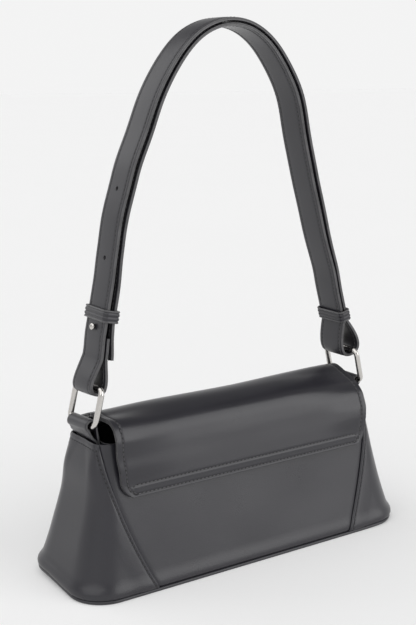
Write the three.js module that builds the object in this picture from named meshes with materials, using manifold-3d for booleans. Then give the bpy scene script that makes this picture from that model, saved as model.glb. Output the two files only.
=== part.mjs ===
// Flap-over shoulder bag with a doubled, stud-adjusted strap, in millimetres, +Z up.
// The back of the bag faces -Y, the flap closes over the front at +Y.
import * as THREE from 'three';
import { mergeVertices } from 'three/addons/utils/BufferGeometryUtils.js';
import Module from 'manifold-3d';

// Bag body
const BASE_HALF_LENGTH = 133.6;
const BASE_HALF_DEPTH = 43.3;
const BASE_CORNER = 24.5;
const MOUTH_HALF_LENGTH = 110.5;
const MOUTH_HALF_DEPTH = 22;
const MOUTH_CORNER = 9;
const MOUTH_HEIGHT = 97;
const END_FLARE = 1.25;
const SIDE_FLARE = 1.1;
const BULGE = 1.9;
const BULGE_HEIGHT = 22;
const FOOT_TUCK = 0.3;
const SEAM_FOOT = 79;
const SEAM_HEAD = 109;
const SEAM_BOW = 1.6;
const PANEL = 1.9;
const FOLD_HEIGHT = 0.9;
const GAP = 0.3;
const ROW_EASE = 1.35;

// Base
const BASE_PLATE = 2.2;
const WELT = 1.5;
const BOARD = 1.6;

// Lining
const LINING = 0.8;
const LINING_ROOM = 1.7;
const LINING_CORNER = 2;
const FACING = 1.1;
const FACING_DEPTH = 22;
const FACING_DROP = 1;
const TAB_ROOM = 6.6;

// Flap
const FLAP_LEATHER = 1.4;
const FLAP_LINING = 1.1;
const FLAP_SEWN_HEIGHT = 62;
const FLAP_SEWN_HALF = 102.5;
const FLAP_HALF = 104;
const FLAP_PUFF_UP = 10;
const FLAP_PUFF = 1.1;
const FLAP_LEAVE_UP = 23;
const FLAP_LEAVE = 3.3;
const FLAP_BEND_STAND = 6.3;
const RIDGE_RISE = 15.8;
const RIDGE_Y = -8;
const BACK_SHOULDER_Y = -25.8;
const BACK_SHOULDER_DROP = 4.8;
const BACK_BROW_Y = -18;
const BACK_BROW_DROP = 1;
const FRONT_CREST_Y = 4;
const FRONT_CREST_DROP = 0.9;
const FRONT_BROW_Y = 13;
const FRONT_BROW_DROP = 4;
const FRONT_SHOULDER_Y = 20.6;
const FRONT_SHOULDER_DROP = 8.8;
const FLAP_STAND = 3.6;
const FLAP_TURN = 6;
const FLAP_TURN_STAND = 3;
const FLAP_FALL = 21;
const FLAP_FRONT_FOOT = 42;
const FLAP_FRONT_HALF = 96;
const FLAP_CORNER = 10;

// Magnetic snap
const SNAP_RADIUS = 7;
const SNAP_SEAT = 4;
const SNAP_STEM = 1.6;
const SNAP_HEIGHT = 54;
const SNAP_THICK = 1.45;
const SNAP_BOSS = 2.4;
const SNAP_DISH = 3.2;
const SNAP_DROP = 0.3;
const SNAP_LIP = 0.5;
const SNAP_BEVEL = 1;
const SNAP_PLAY = 0.1;
const WASHER = 0.6;
const CUT_PAST = 3;

// Rings and tabs
const WIRE = 1.8;
const RING_HALF_WIDTH = 16;
const RING_CORNER = 4.5;
const RING_OUT = 0.5;
const RING_UP = 6.8;
const RING_LEAN_IN = 5.7;
const RING_TALL = 23.7;
const RING_FOOT_X = MOUTH_HALF_LENGTH + RING_OUT;
const RING_FOOT_Z = MOUTH_HEIGHT + RING_UP;
const RING_HEAD_X = RING_FOOT_X - RING_LEAN_IN;
const RING_HEAD_Z = RING_FOOT_Z + RING_TALL;
const TAB_HALF_WIDTH = 12.8;
const TAB = 1.65;
const TAB_DEPTH = 19;
const TAB_NECK = 1;
const TAB_SHOULDER = 2.6;
const TAB_FOLD = 2.4;
const TAB_CLOSE_TURN = 0.55;
const TAB_STEPS = 18;

// Strap
const STRAP_HALF_WIDTH = 12;
const STRAP = 2.8;
const STRAP_HEIGHT = 360;
const LEG_LENGTH = 138.7;
const LEFT_LEAN = 11.7;
const LEFT_RISE = 38;
const LEFT_CROWN = 34;
const RIGHT_LEAN = 15.8;
const RIGHT_RISE = 62;
const RIGHT_CROWN = 37;
const CROWN_X = -1;
const TAIL_END = 21;
const TAIL_STAND = 2;
const TAIL_EASE = 9;
const TAIL_EASE_STAND = 0.6;
const LAYER_GAP_CLOSED = 0.4;
const LAYER_GAP_LEG = 3.2;
const LAYER_GAP_TOP = 1.2;
const LAYER_OPEN = 25;
const LAYER_CLOSE_FROM = 0.1;
const LOOP_RISE = 22.5;
const LOOP_SWELL = 8.6;
const LOOP_EASE = 9;
const LOOP_EASE_OUT = 1.4;
const LOOP_PLAY = 0.4;
const FOLD_BACK = 18.5;
const KEEPER_TALL = 8;
const KEEPER_WALL = 1.5;
const KEEPER_PLAY = 0.4;
const KEEPER_CORNER = 2;
const KEEPER_INNER_CORNER = 0.8;
const KEEPER_TRAVEL = 14;
const KEEPER_LEFT_UP = 46;
const KEEPER_RIGHT_UP = 23.2;
const EDGE_BEVEL = 0.35;
const STUD_UP = 41.4;
const STUD_SEAT = 3;
const HOLE_PITCH = 44;
const HOLE_COUNT = 3;
const HOLE_RADIUS = 1.45;
const HOLE_REACH = 12;
const STUD_HEAD = 2.3;
const STUD_NECK = 1.1;
const STUD_LIFT = 0.6;
const STUD_RIM = 1.1;
const STUD_DOME = 1.2;
const SCREW_HEAD = 2.9;
const SCREW_THICK = 1.2;
const SCREW_BEVEL = 0.7;

const { smoothstep: smooth } = THREE.MathUtils;
const wasm = await Module();
wasm.setup();

const finish = (color, roughness, metalness) => () => (
  new THREE.MeshStandardMaterial({ color, roughness, metalness })
);
const leather = finish(0x1d1d1f, 0.5, 0);
const cloth = finish(0x2b2a2c, 0.9, 0);
const board = finish(0x6b5f4f, 0.9, 0);
const nickel = finish(0xcfccc6, 0.2, 1);

const bag = new THREE.Group();
bag.name = 'shoulder_bag';

function addMesh(name, geometry, material) {
  const mesh = new THREE.Mesh(geometry, material);
  mesh.name = name;
  bag.add(mesh);
  return mesh;
}

// Geometry from flat lists, turned to face outwards
function closedGeometry(points, faces) {
  let volume = 0;
  for (const [i, j, k] of faces) {
    const cross = new THREE.Vector3().crossVectors(points[j], points[k]);
    volume += points[i].dot(cross);
  }
  const index = faces.flatMap(([i, j, k]) => (volume < 0 ? [i, k, j] : [i, j, k]));
  const geometry = new THREE.BufferGeometry();
  const flat = points.flatMap((p) => [p.x, p.y, p.z]);
  geometry.setAttribute('position', new THREE.Float32BufferAttribute(flat, 3));
  geometry.setIndex(index);
  geometry.computeVertexNormals();
  return geometry;
}

// A sheet with thickness between two surfaces over the same grid
function sheetSolid(outer, inner, columns, rows, ringed = false) {
  const points = [];
  const count = ringed ? columns : columns + 1;
  for (const surface of [outer, inner]) {
    for (let v = 0; v <= rows; v += 1) {
      for (let u = 0; u < count; u += 1) points.push(surface(u / columns, v / rows));
    }
  }
  const at = (side, u, v) => side * count * (rows + 1) + v * count + (u % count);
  const faces = [];
  const quad = (a, b, c, d) => faces.push([a, b, c], [a, c, d]);
  for (let v = 0; v < rows; v += 1) {
    for (let u = 0; u < columns; u += 1) {
      quad(at(0, u, v), at(0, u + 1, v), at(0, u + 1, v + 1), at(0, u, v + 1));
      quad(at(1, u, v), at(1, u, v + 1), at(1, u + 1, v + 1), at(1, u + 1, v));
    }
  }
  for (let u = 0; u < columns; u += 1) {
    quad(at(0, u, 0), at(1, u, 0), at(1, u + 1, 0), at(0, u + 1, 0));
    quad(at(0, u, rows), at(0, u + 1, rows), at(1, u + 1, rows), at(1, u, rows));
  }
  if (!ringed) {
    for (let v = 0; v < rows; v += 1) {
      quad(at(0, 0, v), at(0, 0, v + 1), at(1, 0, v + 1), at(1, 0, v));
      quad(at(0, columns, v), at(1, columns, v), at(1, columns, v + 1), at(0, columns, v + 1));
    }
  }
  return closedGeometry(points, faces);
}

// A round wire along a closed flat path
function wireLoop(path, normal, radius, sides) {
  const points = [];
  const faces = [];
  const n = path.length;
  for (let i = 0; i < n; i += 1) {
    const along = path[(i + 1) % n].clone().sub(path[(i + n - 1) % n]).normalize();
    const side = new THREE.Vector3().crossVectors(along, normal);
    for (let k = 0; k < sides; k += 1) {
      const turn = 2 * Math.PI * k / sides;
      const p = path[i].clone().addScaledVector(side, radius * Math.cos(turn));
      points.push(p.addScaledVector(normal, radius * Math.sin(turn)));
    }
  }
  for (let i = 0; i < n; i += 1) {
    for (let k = 0; k < sides; k += 1) {
      const a = i * sides + k;
      const b = i * sides + (k + 1) % sides;
      const c = ((i + 1) % n) * sides + (k + 1) % sides;
      const d = ((i + 1) % n) * sides + k;
      faces.push([a, b, c], [a, c, d]);
    }
  }
  return closedGeometry(points, faces);
}

// Corner-rounded rectangle in its own plane, counter-clockwise
function roundedRectangle(halfWide, halfTall, corner, steps) {
  const points = [];
  const centres = [[1, -1], [1, 1], [-1, 1], [-1, -1]];
  centres.forEach(([sx, sy], quarter) => {
    for (let i = 0; i <= steps; i += 1) {
      const turn = (quarter - 1 + i / steps) * Math.PI / 2;
      const x = sx * (halfWide - corner) + corner * Math.cos(turn);
      points.push(new THREE.Vector2(x, sy * (halfTall - corner) + corner * Math.sin(turn)));
    }
  });
  return points;
}

function toManifold(geometry) {
  const bare = geometry.clone();
  bare.deleteAttribute('normal');
  bare.deleteAttribute('uv');
  const merged = mergeVertices(bare, 1e-4);
  const vertProperties = new Float32Array(merged.attributes.position.array);
  const triVerts = new Uint32Array(merged.index.array);
  return new wasm.Manifold(new wasm.Mesh({ numProp: 3, vertProperties, triVerts }));
}

function drilled(geometry, cutters) {
  let body = toManifold(geometry);
  for (const cutter of cutters) body = body.subtract(toManifold(cutter));
  const mesh = body.getMesh();
  const cut = new THREE.BufferGeometry();
  cut.setAttribute('position', new THREE.Float32BufferAttribute(mesh.vertProperties, 3));
  cut.setIndex(Array.from(mesh.triVerts));
  cut.computeVertexNormals();
  return cut;
}

// A turned piece whose axis starts at a point and runs along a direction
function turned(profile, start, direction, sides = 24) {
  const outline = profile.map(([r, h]) => new THREE.Vector2(r, h));
  const lathe = new THREE.LatheGeometry(outline, sides);
  const way = direction.clone().normalize();
  const turn = new THREE.Quaternion().setFromUnitVectors(new THREE.Vector3(0, 1, 0), way);
  lathe.applyQuaternion(turn);
  lathe.translate(start.x, start.y, start.z);
  lathe.deleteAttribute('normal');
  lathe.deleteAttribute('uv');
  const merged = mergeVertices(lathe, 1e-4);
  const position = merged.attributes.position;
  const points = [];
  for (let i = 0; i < position.count; i += 1) {
    points.push(new THREE.Vector3().fromBufferAttribute(position, i));
  }
  const faces = [];
  const index = merged.index.array;
  for (let i = 0; i < index.length; i += 3) {
    const tri = [index[i], index[i + 1], index[i + 2]];
    if (new Set(tri).size === 3) faces.push(tri);
  }
  return closedGeometry(points, faces);
}

// Plan of the body at a height: flared, with a soft swelling over the base
function planAt(z) {
  const fall = 1 - Math.min(z / MOUTH_HEIGHT, 1);
  const climb = Math.min(z / BULGE_HEIGHT, 1);
  const swell = BULGE * Math.sin(Math.PI * climb) ** 2 - FOOT_TUCK * (1 - climb) ** 4;
  const length = MOUTH_HALF_LENGTH + (BASE_HALF_LENGTH - MOUTH_HALF_LENGTH) * fall ** END_FLARE + swell;
  const depth = MOUTH_HALF_DEPTH + (BASE_HALF_DEPTH - MOUTH_HALF_DEPTH) * fall ** SIDE_FLARE + swell;
  const corner = MOUTH_CORNER + (BASE_CORNER - MOUTH_CORNER) * fall;
  return { length, depth, corner };
}

// Point on the plan, a given way along it from the middle of the back, pushed out by a distance
function planPoint(z, way, push) {
  const { length, depth, corner } = planAt(z);
  const flat = length - corner;
  const arc = corner * Math.PI / 2;
  const end = depth - corner;
  const half = flat + arc + end;
  const mirrored = Math.abs(way) > half;
  const s = mirrored ? 2 * half - Math.abs(way) : Math.abs(way);
  let x = s;
  let y = -depth;
  let nx = 0;
  let ny = -1;
  if (s > flat + arc) {
    x = length;
    y = -(end - (s - flat - arc));
    nx = 1;
    ny = 0;
  } else if (s > flat) {
    const turn = (s - flat) / corner;
    nx = Math.sin(turn);
    ny = -Math.cos(turn);
    x = flat + corner * nx;
    y = -end + corner * ny;
  }
  const sx = way < 0 ? -1 : 1;
  const sy = mirrored ? -1 : 1;
  return new THREE.Vector3(sx * (x + push * nx), sy * (y + push * ny), z);
}

function planHalf(z) {
  const { length, depth, corner } = planAt(z);
  return length - corner + corner * Math.PI / 2 + depth - corner;
}

// Way along the plan at which the slanted seam stands
function seamWay(z) {
  const { length, corner } = planAt(z);
  const x = SEAM_FOOT + (SEAM_HEAD - SEAM_FOOT) * (1 - (1 - z / MOUTH_HEIGHT) ** SEAM_BOW);
  const flat = length - corner;
  return x <= flat ? x : flat + corner * Math.asin(Math.min(1, (x - flat) / corner));
}

const WALL_FOOT = 2 * WELT + GAP;
const wallHeight = (v) => WALL_FOOT + (MOUTH_HEIGHT - WALL_FOOT) * v ** ROW_EASE;

// Back and front panels between the seams
function bodyPanel(front) {
  const face = (push) => (u, v) => {
    const z = wallHeight(v);
    const way = (2 * u - 1) * (seamWay(z) - GAP / 2);
    const p = planPoint(z, way, push);
    return new THREE.Vector3(p.x, front ? -p.y : p.y, p.z);
  };
  return sheetSolid(face(0), face(-PANEL), 12, 12);
}

// Gusset from the back seam round the end to the front seam, a little proud of the panels
function gusset(side) {
  const face = (push) => (u, v) => {
    const z = wallHeight(v);
    const from = seamWay(z) + GAP / 2;
    return planPoint(z, side * (from + u * 2 * (planHalf(z) - from)), push);
  };
  return sheetSolid(face(FOLD_HEIGHT), face(-PANEL), 22, 12);
}

const backPanel = bodyPanel(false);
const frontPanel = bodyPanel(true);
addMesh('back_panel', backPanel, leather());
addMesh('gusset_left', gusset(-1), leather());
addMesh('gusset_right', gusset(1), leather());

// Base: bottom leather, rolled welt round it and the stiffening board inside
const foot = planAt(0);
function plateOutline(shrink) {
  return roundedRectangle(foot.length - shrink, foot.depth - shrink, foot.corner - shrink, 10);
}
function flatPlate(shrink, depth) {
  return new THREE.ExtrudeGeometry(new THREE.Shape(plateOutline(shrink)), { depth, bevelEnabled: false });
}
addMesh('base_panel', flatPlate(2 * WELT + GAP, BASE_PLATE), leather());
const weltPath = plateOutline(WELT).map((p) => new THREE.Vector3(p.x, p.y, WELT + GAP / 2));
addMesh('base_welt', wireLoop(weltPath, new THREE.Vector3(0, 0, 1), WELT, 8), leather());
const boardInset = 2 * WELT + GAP + PANEL + GAP;
const boardShape = flatPlate(boardInset, BOARD);
boardShape.translate(0, 0, BASE_PLATE + GAP);
addMesh('base_board', boardShape, board());

// Lining tub and the leather facing round the mouth
const LINING_FLOOR = BASE_PLATE + BOARD + 2 * GAP;
const LINING_INSET = PANEL + LINING_ROOM;
const FACING_FOOT = MOUTH_HEIGHT - FACING_DEPTH;
function liningOutline(z, shrink) {
  const { depth, corner } = planAt(z);
  const mouth = MOUTH_HALF_LENGTH - TAB_ROOM;
  const floor = BASE_HALF_LENGTH - TAB_ROOM;
  const length = mouth + (floor - mouth) * Math.max(0, 1 - z / FACING_FOOT);
  const round = Math.max(corner - LINING_INSET - shrink, LINING_CORNER);
  return roundedRectangle(length - shrink, depth - LINING_INSET - shrink, round, 8);
}
function liningWall(low, high, thick) {
  const face = (shrink) => (u, v) => {
    const z = low + (high - low) * v;
    const outline = liningOutline(z, shrink);
    const p = outline[Math.round(u * outline.length) % outline.length];
    return new THREE.Vector3(p.x, p.y, z);
  };
  return [face(0), face(thick)];
}
const facing = liningWall(FACING_FOOT + GAP, MOUTH_HEIGHT - FACING_DROP, FACING);
addMesh('mouth_facing', sheetSolid(facing[0], facing[1], 36, 3, true), leather());

function liningTub() {
  const rows = 5;
  const points = [];
  const rings = [];
  const ring = (z, shrink, height) => {
    rings.push(points.length);
    for (const p of liningOutline(z, shrink)) points.push(new THREE.Vector3(p.x, p.y, height));
  };
  for (let v = 0; v <= rows; v += 1) {
    const z = LINING_FLOOR + (FACING_FOOT - LINING_FLOOR) * v / rows;
    ring(z, 0, z);
  }
  for (let v = rows; v >= 0; v -= 1) {
    const z = LINING_FLOOR + (FACING_FOOT - LINING_FLOOR) * v / rows;
    ring(z, LINING, v === 0 ? LINING_FLOOR + LINING : z);
  }
  const n = liningOutline(LINING_FLOOR, 0).length;
  const faces = [];
  for (let r = 0; r + 1 < rings.length; r += 1) {
    for (let i = 0; i < n; i += 1) {
      const a = rings[r] + i;
      const b = rings[r] + (i + 1) % n;
      const c = rings[r + 1] + (i + 1) % n;
      const d = rings[r + 1] + i;
      faces.push([a, b, c], [a, c, d]);
    }
  }
  const under = points.length;
  points.push(new THREE.Vector3(0, 0, LINING_FLOOR), new THREE.Vector3(0, 0, LINING_FLOOR + LINING));
  const last = rings[rings.length - 1];
  for (let i = 0; i < n; i += 1) {
    faces.push([rings[0] + (i + 1) % n, rings[0] + i, under]);
    faces.push([last + i, last + (i + 1) % n, under + 1]);
  }
  return closedGeometry(points, faces);
}
addMesh('lining', liningTub(), cloth());

// Flap: one curved section from the sewn edge on the back, over the mouth and down the front
const FLAP = FLAP_LINING + GAP + FLAP_LEATHER;
const backLine = (z, stand) => new THREE.Vector2(-planAt(z).depth - stand, z);
const frontLine = (z, stand) => new THREE.Vector2(planAt(z).depth + stand, z);
const roof = MOUTH_HEIGHT + RIDGE_RISE - FLAP;
const roofLine = (y, drop) => new THREE.Vector2(y, roof - drop);
const fallHeight = MOUTH_HEIGHT - FLAP_FALL;
const backBend = backLine(MOUTH_HEIGHT, FLAP_BEND_STAND);
const frontShoulder = roofLine(FRONT_SHOULDER_Y, FRONT_SHOULDER_DROP);
const FLAP_SECTION = new THREE.SplineCurve([
  backLine(FLAP_SEWN_HEIGHT, GAP),
  backLine(FLAP_SEWN_HEIGHT + FLAP_PUFF_UP, FLAP_PUFF),
  backLine(FLAP_SEWN_HEIGHT + FLAP_LEAVE_UP, FLAP_LEAVE),
  backBend,
  roofLine(BACK_SHOULDER_Y, BACK_SHOULDER_DROP),
  roofLine(BACK_BROW_Y, BACK_BROW_DROP),
  roofLine(RIDGE_Y, 0),
  roofLine(FRONT_CREST_Y, FRONT_CREST_DROP),
  roofLine(FRONT_BROW_Y, FRONT_BROW_DROP),
  frontShoulder,
  frontLine(MOUTH_HEIGHT - FLAP_TURN, FLAP_TURN_STAND),
  frontLine(fallHeight, FLAP_STAND),
  frontLine((fallHeight + FLAP_FRONT_FOOT) / 2, FLAP_STAND),
  frontLine(FLAP_FRONT_FOOT, FLAP_STAND),
]);
const sectionShare = (point) => FLAP_SECTION.points.indexOf(point) / (FLAP_SECTION.points.length - 1);
const BEND_AT = sectionShare(backBend);
const SHOULDER_AT = sectionShare(frontShoulder);
const CUT = 0.0016;
const SLIGHT = 1e-4;

// Place on the flap's section, lifted off its inner face, with its direction outwards
function flapPlace(t, lift) {
  const p = FLAP_SECTION.getPoint(t);
  const before = FLAP_SECTION.getPoint(Math.max(0, t - SLIGHT));
  const along = FLAP_SECTION.getPoint(Math.min(1, t + SLIGHT)).sub(before).normalize();
  const out = new THREE.Vector2(-along.y, along.x);
  return { point: p.addScaledVector(out, lift), out };
}

// Half length of the flap along its section, drawn in at both rounded lower edges
const MEASURES = 400;
const sectionLengths = FLAP_SECTION.getLengths(MEASURES);
function flapHalf(t) {
  const whole = sectionLengths[MEASURES];
  const s = sectionLengths[Math.round(t * MEASURES)];
  const rise = (FLAP_HALF - FLAP_SEWN_HALF) * smooth(t, 0, BEND_AT);
  const drop = (FLAP_HALF - FLAP_FRONT_HALF) * smooth(t, SHOULDER_AT, 1);
  const plain = FLAP_SEWN_HALF + rise - drop;
  const edge = Math.min(s, whole - s);
  const inside = Math.max(0, FLAP_CORNER - edge);
  return plain - (FLAP_CORNER - Math.sqrt(Math.max(0, FLAP_CORNER ** 2 - inside ** 2)));
}

function flapLayer(from, to, low, high, ease, rows) {
  const face = (lift) => (u, v) => {
    const t = from + (to - from) * ease(v);
    const { point } = flapPlace(t, lift);
    return new THREE.Vector3((2 * u - 1) * flapHalf(t), point.x, point.y);
  };
  return sheetSolid(face(high), face(low), 4, rows);
}
const CORNER_EASE = 1.8;
const startFine = (v) => v ** CORNER_EASE;
const even = (v) => v;
const endFine = (v) => 1 - (1 - v) ** CORNER_EASE;
const flapSpans = [
  ['flap_sewn', 0, BEND_AT - CUT, startFine, 10],
  ['flap_roof', BEND_AT + CUT, SHOULDER_AT - CUT, even, 16],
  ['flap_front', SHOULDER_AT + CUT, 1, endFine, 12],
];
const flapLayers = {};
for (const [name, from, to, ease, rows] of flapSpans) {
  flapLayers[`${name}_lining`] = flapLayer(from, to, 0, FLAP_LINING, ease, rows);
  flapLayers[`${name}_leather`] = flapLayer(from, to, FLAP_LINING + GAP, FLAP, ease, rows);
}

// Magnetic snap behind the front of the flap
let snapAt = SHOULDER_AT;
while (FLAP_SECTION.getPoint(snapAt).y > SNAP_HEIGHT) snapAt += CUT;
const snapPlace = flapPlace(snapAt, 0);
const snapSeat = new THREE.Vector3(0, snapPlace.point.x, snapPlace.point.y);
const snapOut = new THREE.Vector3(0, snapPlace.out.x, snapPlace.out.y);
function holeCutter(start, direction, radius, length) {
  return turned([[0, 0], [radius, 0], [radius, length], [0, length]], start, direction);
}
const seatStart = snapSeat.clone().addScaledVector(snapOut, -CUT_PAST);
const seatHole = holeCutter(seatStart, snapOut, SNAP_SEAT + GAP, FLAP_LINING + 2 * CUT_PAST);
flapLayers.flap_front_lining = drilled(flapLayers.flap_front_lining, [seatHole]);
for (const [name, geometry] of Object.entries(flapLayers)) {
  addMesh(name, geometry, name.endsWith('lining') ? cloth() : leather());
}
const capStep = SNAP_LIP - SNAP_THICK;
const capSeat = FLAP_LINING - SNAP_PLAY;
const capProfile = [
  [0, -SNAP_THICK], [SNAP_BOSS - SNAP_LIP, -SNAP_THICK],
  [SNAP_BOSS, capStep], [SNAP_RADIUS - SNAP_BEVEL, capStep],
  [SNAP_RADIUS, -GAP - SNAP_LIP], [SNAP_RADIUS, -GAP],
  [SNAP_SEAT, -GAP], [SNAP_SEAT, capSeat], [0, capSeat],
];
addMesh('snap_flap', turned(capProfile, snapSeat, snapOut), nickel());
const wallLine = frontLine(snapSeat.z - FLAP_STAND * snapOut.z, 0);
const wallPlace = new THREE.Vector3(0, wallLine.x, wallLine.y);
const wallStart = wallPlace.clone().addScaledVector(snapOut, -PANEL - CUT_PAST);
const wallHole = holeCutter(wallStart, snapOut, SNAP_STEM + GAP, PANEL + 2 * CUT_PAST);
addMesh('front_panel', drilled(frontPanel, [wallHole]), leather());
const inside = -PANEL - GAP;
const socketTop = GAP + SNAP_THICK - SNAP_DROP;
const socketProfile = [
  [0, inside], [SNAP_STEM, inside], [SNAP_STEM, GAP], [SNAP_RADIUS, GAP],
  [SNAP_RADIUS, GAP + SNAP_LIP], [SNAP_RADIUS - SNAP_BEVEL, socketTop], [SNAP_DISH, socketTop],
  [SNAP_DISH - SNAP_DROP, GAP + WASHER], [0, GAP + WASHER],
];
addMesh('snap_body', turned(socketProfile, wallPlace, snapOut), nickel());
const washerBore = SNAP_STEM + GAP;
const washerProfile = [
  [washerBore, inside - WASHER], [SNAP_RADIUS, inside - WASHER],
  [SNAP_RADIUS, inside], [washerBore, inside], [washerBore, inside - WASHER],
];
addMesh('snap_washer', turned(washerProfile, wallPlace, snapOut), nickel());

// A flat outline in X and Z, given thickness across the bag along Y
function acrossBag(outline, halfWidth, bevel) {
  const depth = 2 * (halfWidth - bevel);
  const solid = new THREE.ExtrudeGeometry(new THREE.Shape(outline), {
    depth,
    bevelSize: bevel,
    bevelThickness: bevel,
    bevelOffset: -bevel,
    bevelSegments: 1,
  });
  solid.rotateX(Math.PI / 2);
  solid.translate(0, depth / 2, 0);
  return solid;
}

// Leather tabs folded round the rings' lower bars and tucked behind the gussets
const TAB_FACE = MOUTH_HALF_LENGTH - PANEL - GAP;
function tabOutline(side) {
  const bore = WIRE + GAP;
  const rim = bore + TAB;
  const low = MOUTH_HEIGHT - TAB_DEPTH;
  const neck = MOUTH_HEIGHT + TAB_NECK;
  const shape = new THREE.Shape();
  shape.moveTo(side * TAB_FACE, low);
  shape.lineTo(side * TAB_FACE, neck);
  const from = Math.asin((RING_FOOT_Z - neck - TAB_SHOULDER) / rim);
  for (let i = 0; i <= TAB_STEPS; i += 1) {
    const turn = -from + (Math.PI + 2 * from - TAB_CLOSE_TURN) * i / TAB_STEPS;
    shape.lineTo(side * (RING_FOOT_X + rim * Math.cos(turn)), RING_FOOT_Z + rim * Math.sin(turn));
  }
  shape.lineTo(side * (TAB_FACE - 2 * TAB), neck - TAB_FOLD);
  shape.lineTo(side * (TAB_FACE - 2 * TAB), low);
  shape.closePath();
  const hole = new THREE.Path();
  hole.absarc(side * RING_FOOT_X, RING_FOOT_Z, bore, 0, 2 * Math.PI, false);
  shape.holes.push(hole);
  return shape;
}
for (const [name, side] of [['left', -1], ['right', 1]]) {
  const depth = 2 * TAB_HALF_WIDTH;
  const settings = { depth, bevelEnabled: false, curveSegments: 10 };
  const tab = new THREE.ExtrudeGeometry(tabOutline(side), settings);
  tab.rotateX(Math.PI / 2);
  tab.translate(0, depth / 2, 0);
  addMesh(`tab_${name}`, tab, leather());
}

// Rings: round wire bent to a rectangle, leaning inwards
const ringFoot = new THREE.Vector3(RING_FOOT_X, 0, RING_FOOT_Z);
const ringHead = new THREE.Vector3(RING_HEAD_X, 0, RING_HEAD_Z);
const ringUp = new THREE.Vector3().subVectors(ringHead, ringFoot);
const ringHalfTall = ringUp.length() / 2;
ringUp.normalize();
const ringMiddle = new THREE.Vector3().addVectors(ringFoot, ringHead).multiplyScalar(0.5);
for (const [name, side] of [['left', -1], ['right', 1]]) {
  const path = roundedRectangle(RING_HALF_WIDTH, ringHalfTall, RING_CORNER, 5).map((p) => {
    const point = ringMiddle.clone().addScaledVector(ringUp, p.y);
    return new THREE.Vector3(side * point.x, p.x, point.z);
  });
  const normal = new THREE.Vector3(side * ringUp.z, 0, -ringUp.x).normalize();
  addMesh(`ring_${name}`, wireLoop(path, normal, WIRE, 10), nickel());
}

// Strap: its two legs, and a point at a distance up a leg's middle line and out from it
const { degToRad } = THREE.MathUtils;
const LEFT_LEG = { side: -1, lean: degToRad(LEFT_LEAN), rise: LEFT_RISE, crown: LEFT_CROWN };
const RIGHT_LEG = { side: 1, lean: degToRad(RIGHT_LEAN), rise: RIGHT_RISE, crown: RIGHT_CROWN };
function legPoint(leg, up, out) {
  const x = RING_HEAD_X - up * Math.sin(leg.lean) + out * Math.cos(leg.lean);
  const z = RING_HEAD_Z + up * Math.cos(leg.lean) + out * Math.sin(leg.lean);
  return new THREE.Vector2(leg.side * x, z);
}

// One layer's middle line from a leg's lower end to the crown, set in or out from the middle
function layerLine(leg, from, set, closedUntil) {
  const points = [];
  const legStops = 5;
  for (let i = 0; i <= legStops; i += 1) {
    const up = from + (LEG_LENGTH - from) * i / legStops;
    const open = smooth(up, closedUntil, LEG_LENGTH - LAYER_OPEN);
    const gap = LAYER_GAP_CLOSED + (LAYER_GAP_LEG - LAYER_GAP_CLOSED) * open;
    points.push(legPoint(leg, up, set * (STRAP + gap) / 2));
  }
  const crown = STRAP_HEIGHT - STRAP - LAYER_GAP_TOP / 2;
  const arch = new THREE.CubicBezierCurve(
    legPoint(leg, LEG_LENGTH, 0),
    legPoint(leg, LEG_LENGTH + leg.rise, 0),
    new THREE.Vector2(CROWN_X + leg.side * leg.crown, crown),
    new THREE.Vector2(CROWN_X, crown),
  );
  const archStops = 10;
  for (let i = 1; i <= archStops; i += 1) {
    const t = i / archStops;
    const along = arch.getTangent(t).multiplyScalar(leg.side);
    const gap = LAYER_GAP_LEG + (LAYER_GAP_TOP - LAYER_GAP_LEG) * smooth(t, LAYER_CLOSE_FROM, 1);
    const off = set * (STRAP + gap) / 2;
    const p = arch.getPoint(t);
    points.push(new THREE.Vector2(p.x + along.y * off, p.y - along.x * off));
  }
  return points;
}
const closedSet = (STRAP + LAYER_GAP_CLOSED) / 2;

// Half of the open loop round a ring's upper bar, from the leg down to under the bar
function loopLine(leg, set) {
  const under = -(WIRE + STRAP / 2 + LOOP_PLAY);
  const half = new THREE.CubicBezierCurve(
    new THREE.Vector2(set * closedSet, LOOP_RISE),
    new THREE.Vector2(set * (closedSet + LOOP_EASE_OUT), LOOP_RISE - LOOP_EASE),
    new THREE.Vector2(set * LOOP_SWELL, under),
    new THREE.Vector2(0, under),
  );
  return half.getPoints(9).map((p) => legPoint(leg, p.y, p.x));
}

// The band's whole run: tail, inner layer, right loop, outer layer, left loop and its sewn end
const leftClosed = KEEPER_LEFT_UP + KEEPER_TALL + KEEPER_TRAVEL;
const rightClosed = KEEPER_RIGHT_UP + KEEPER_TALL + KEEPER_TRAVEL;
const sewnEnd = legPoint(LEFT_LEG, FOLD_BACK, 0).y;
const run = [
  legPoint(LEFT_LEG, TAIL_END, -closedSet - TAIL_STAND),
  legPoint(LEFT_LEG, TAIL_END + TAIL_EASE, -closedSet - TAIL_EASE_STAND),
  layerLine(LEFT_LEG, STUD_UP - STUD_SEAT, -1, leftClosed),
  layerLine(RIGHT_LEG, LOOP_RISE, -1, rightClosed).reverse().slice(1),
  loopLine(RIGHT_LEG, -1).slice(1),
  loopLine(RIGHT_LEG, 1).reverse().slice(1),
  layerLine(RIGHT_LEG, LOOP_RISE, 1, rightClosed).slice(1),
  layerLine(LEFT_LEG, LOOP_RISE, 1, leftClosed).reverse().slice(1),
  loopLine(LEFT_LEG, 1).slice(1),
  loopLine(LEFT_LEG, -1).reverse().slice(1).filter((p) => p.y < sewnEnd),
].flat();

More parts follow.
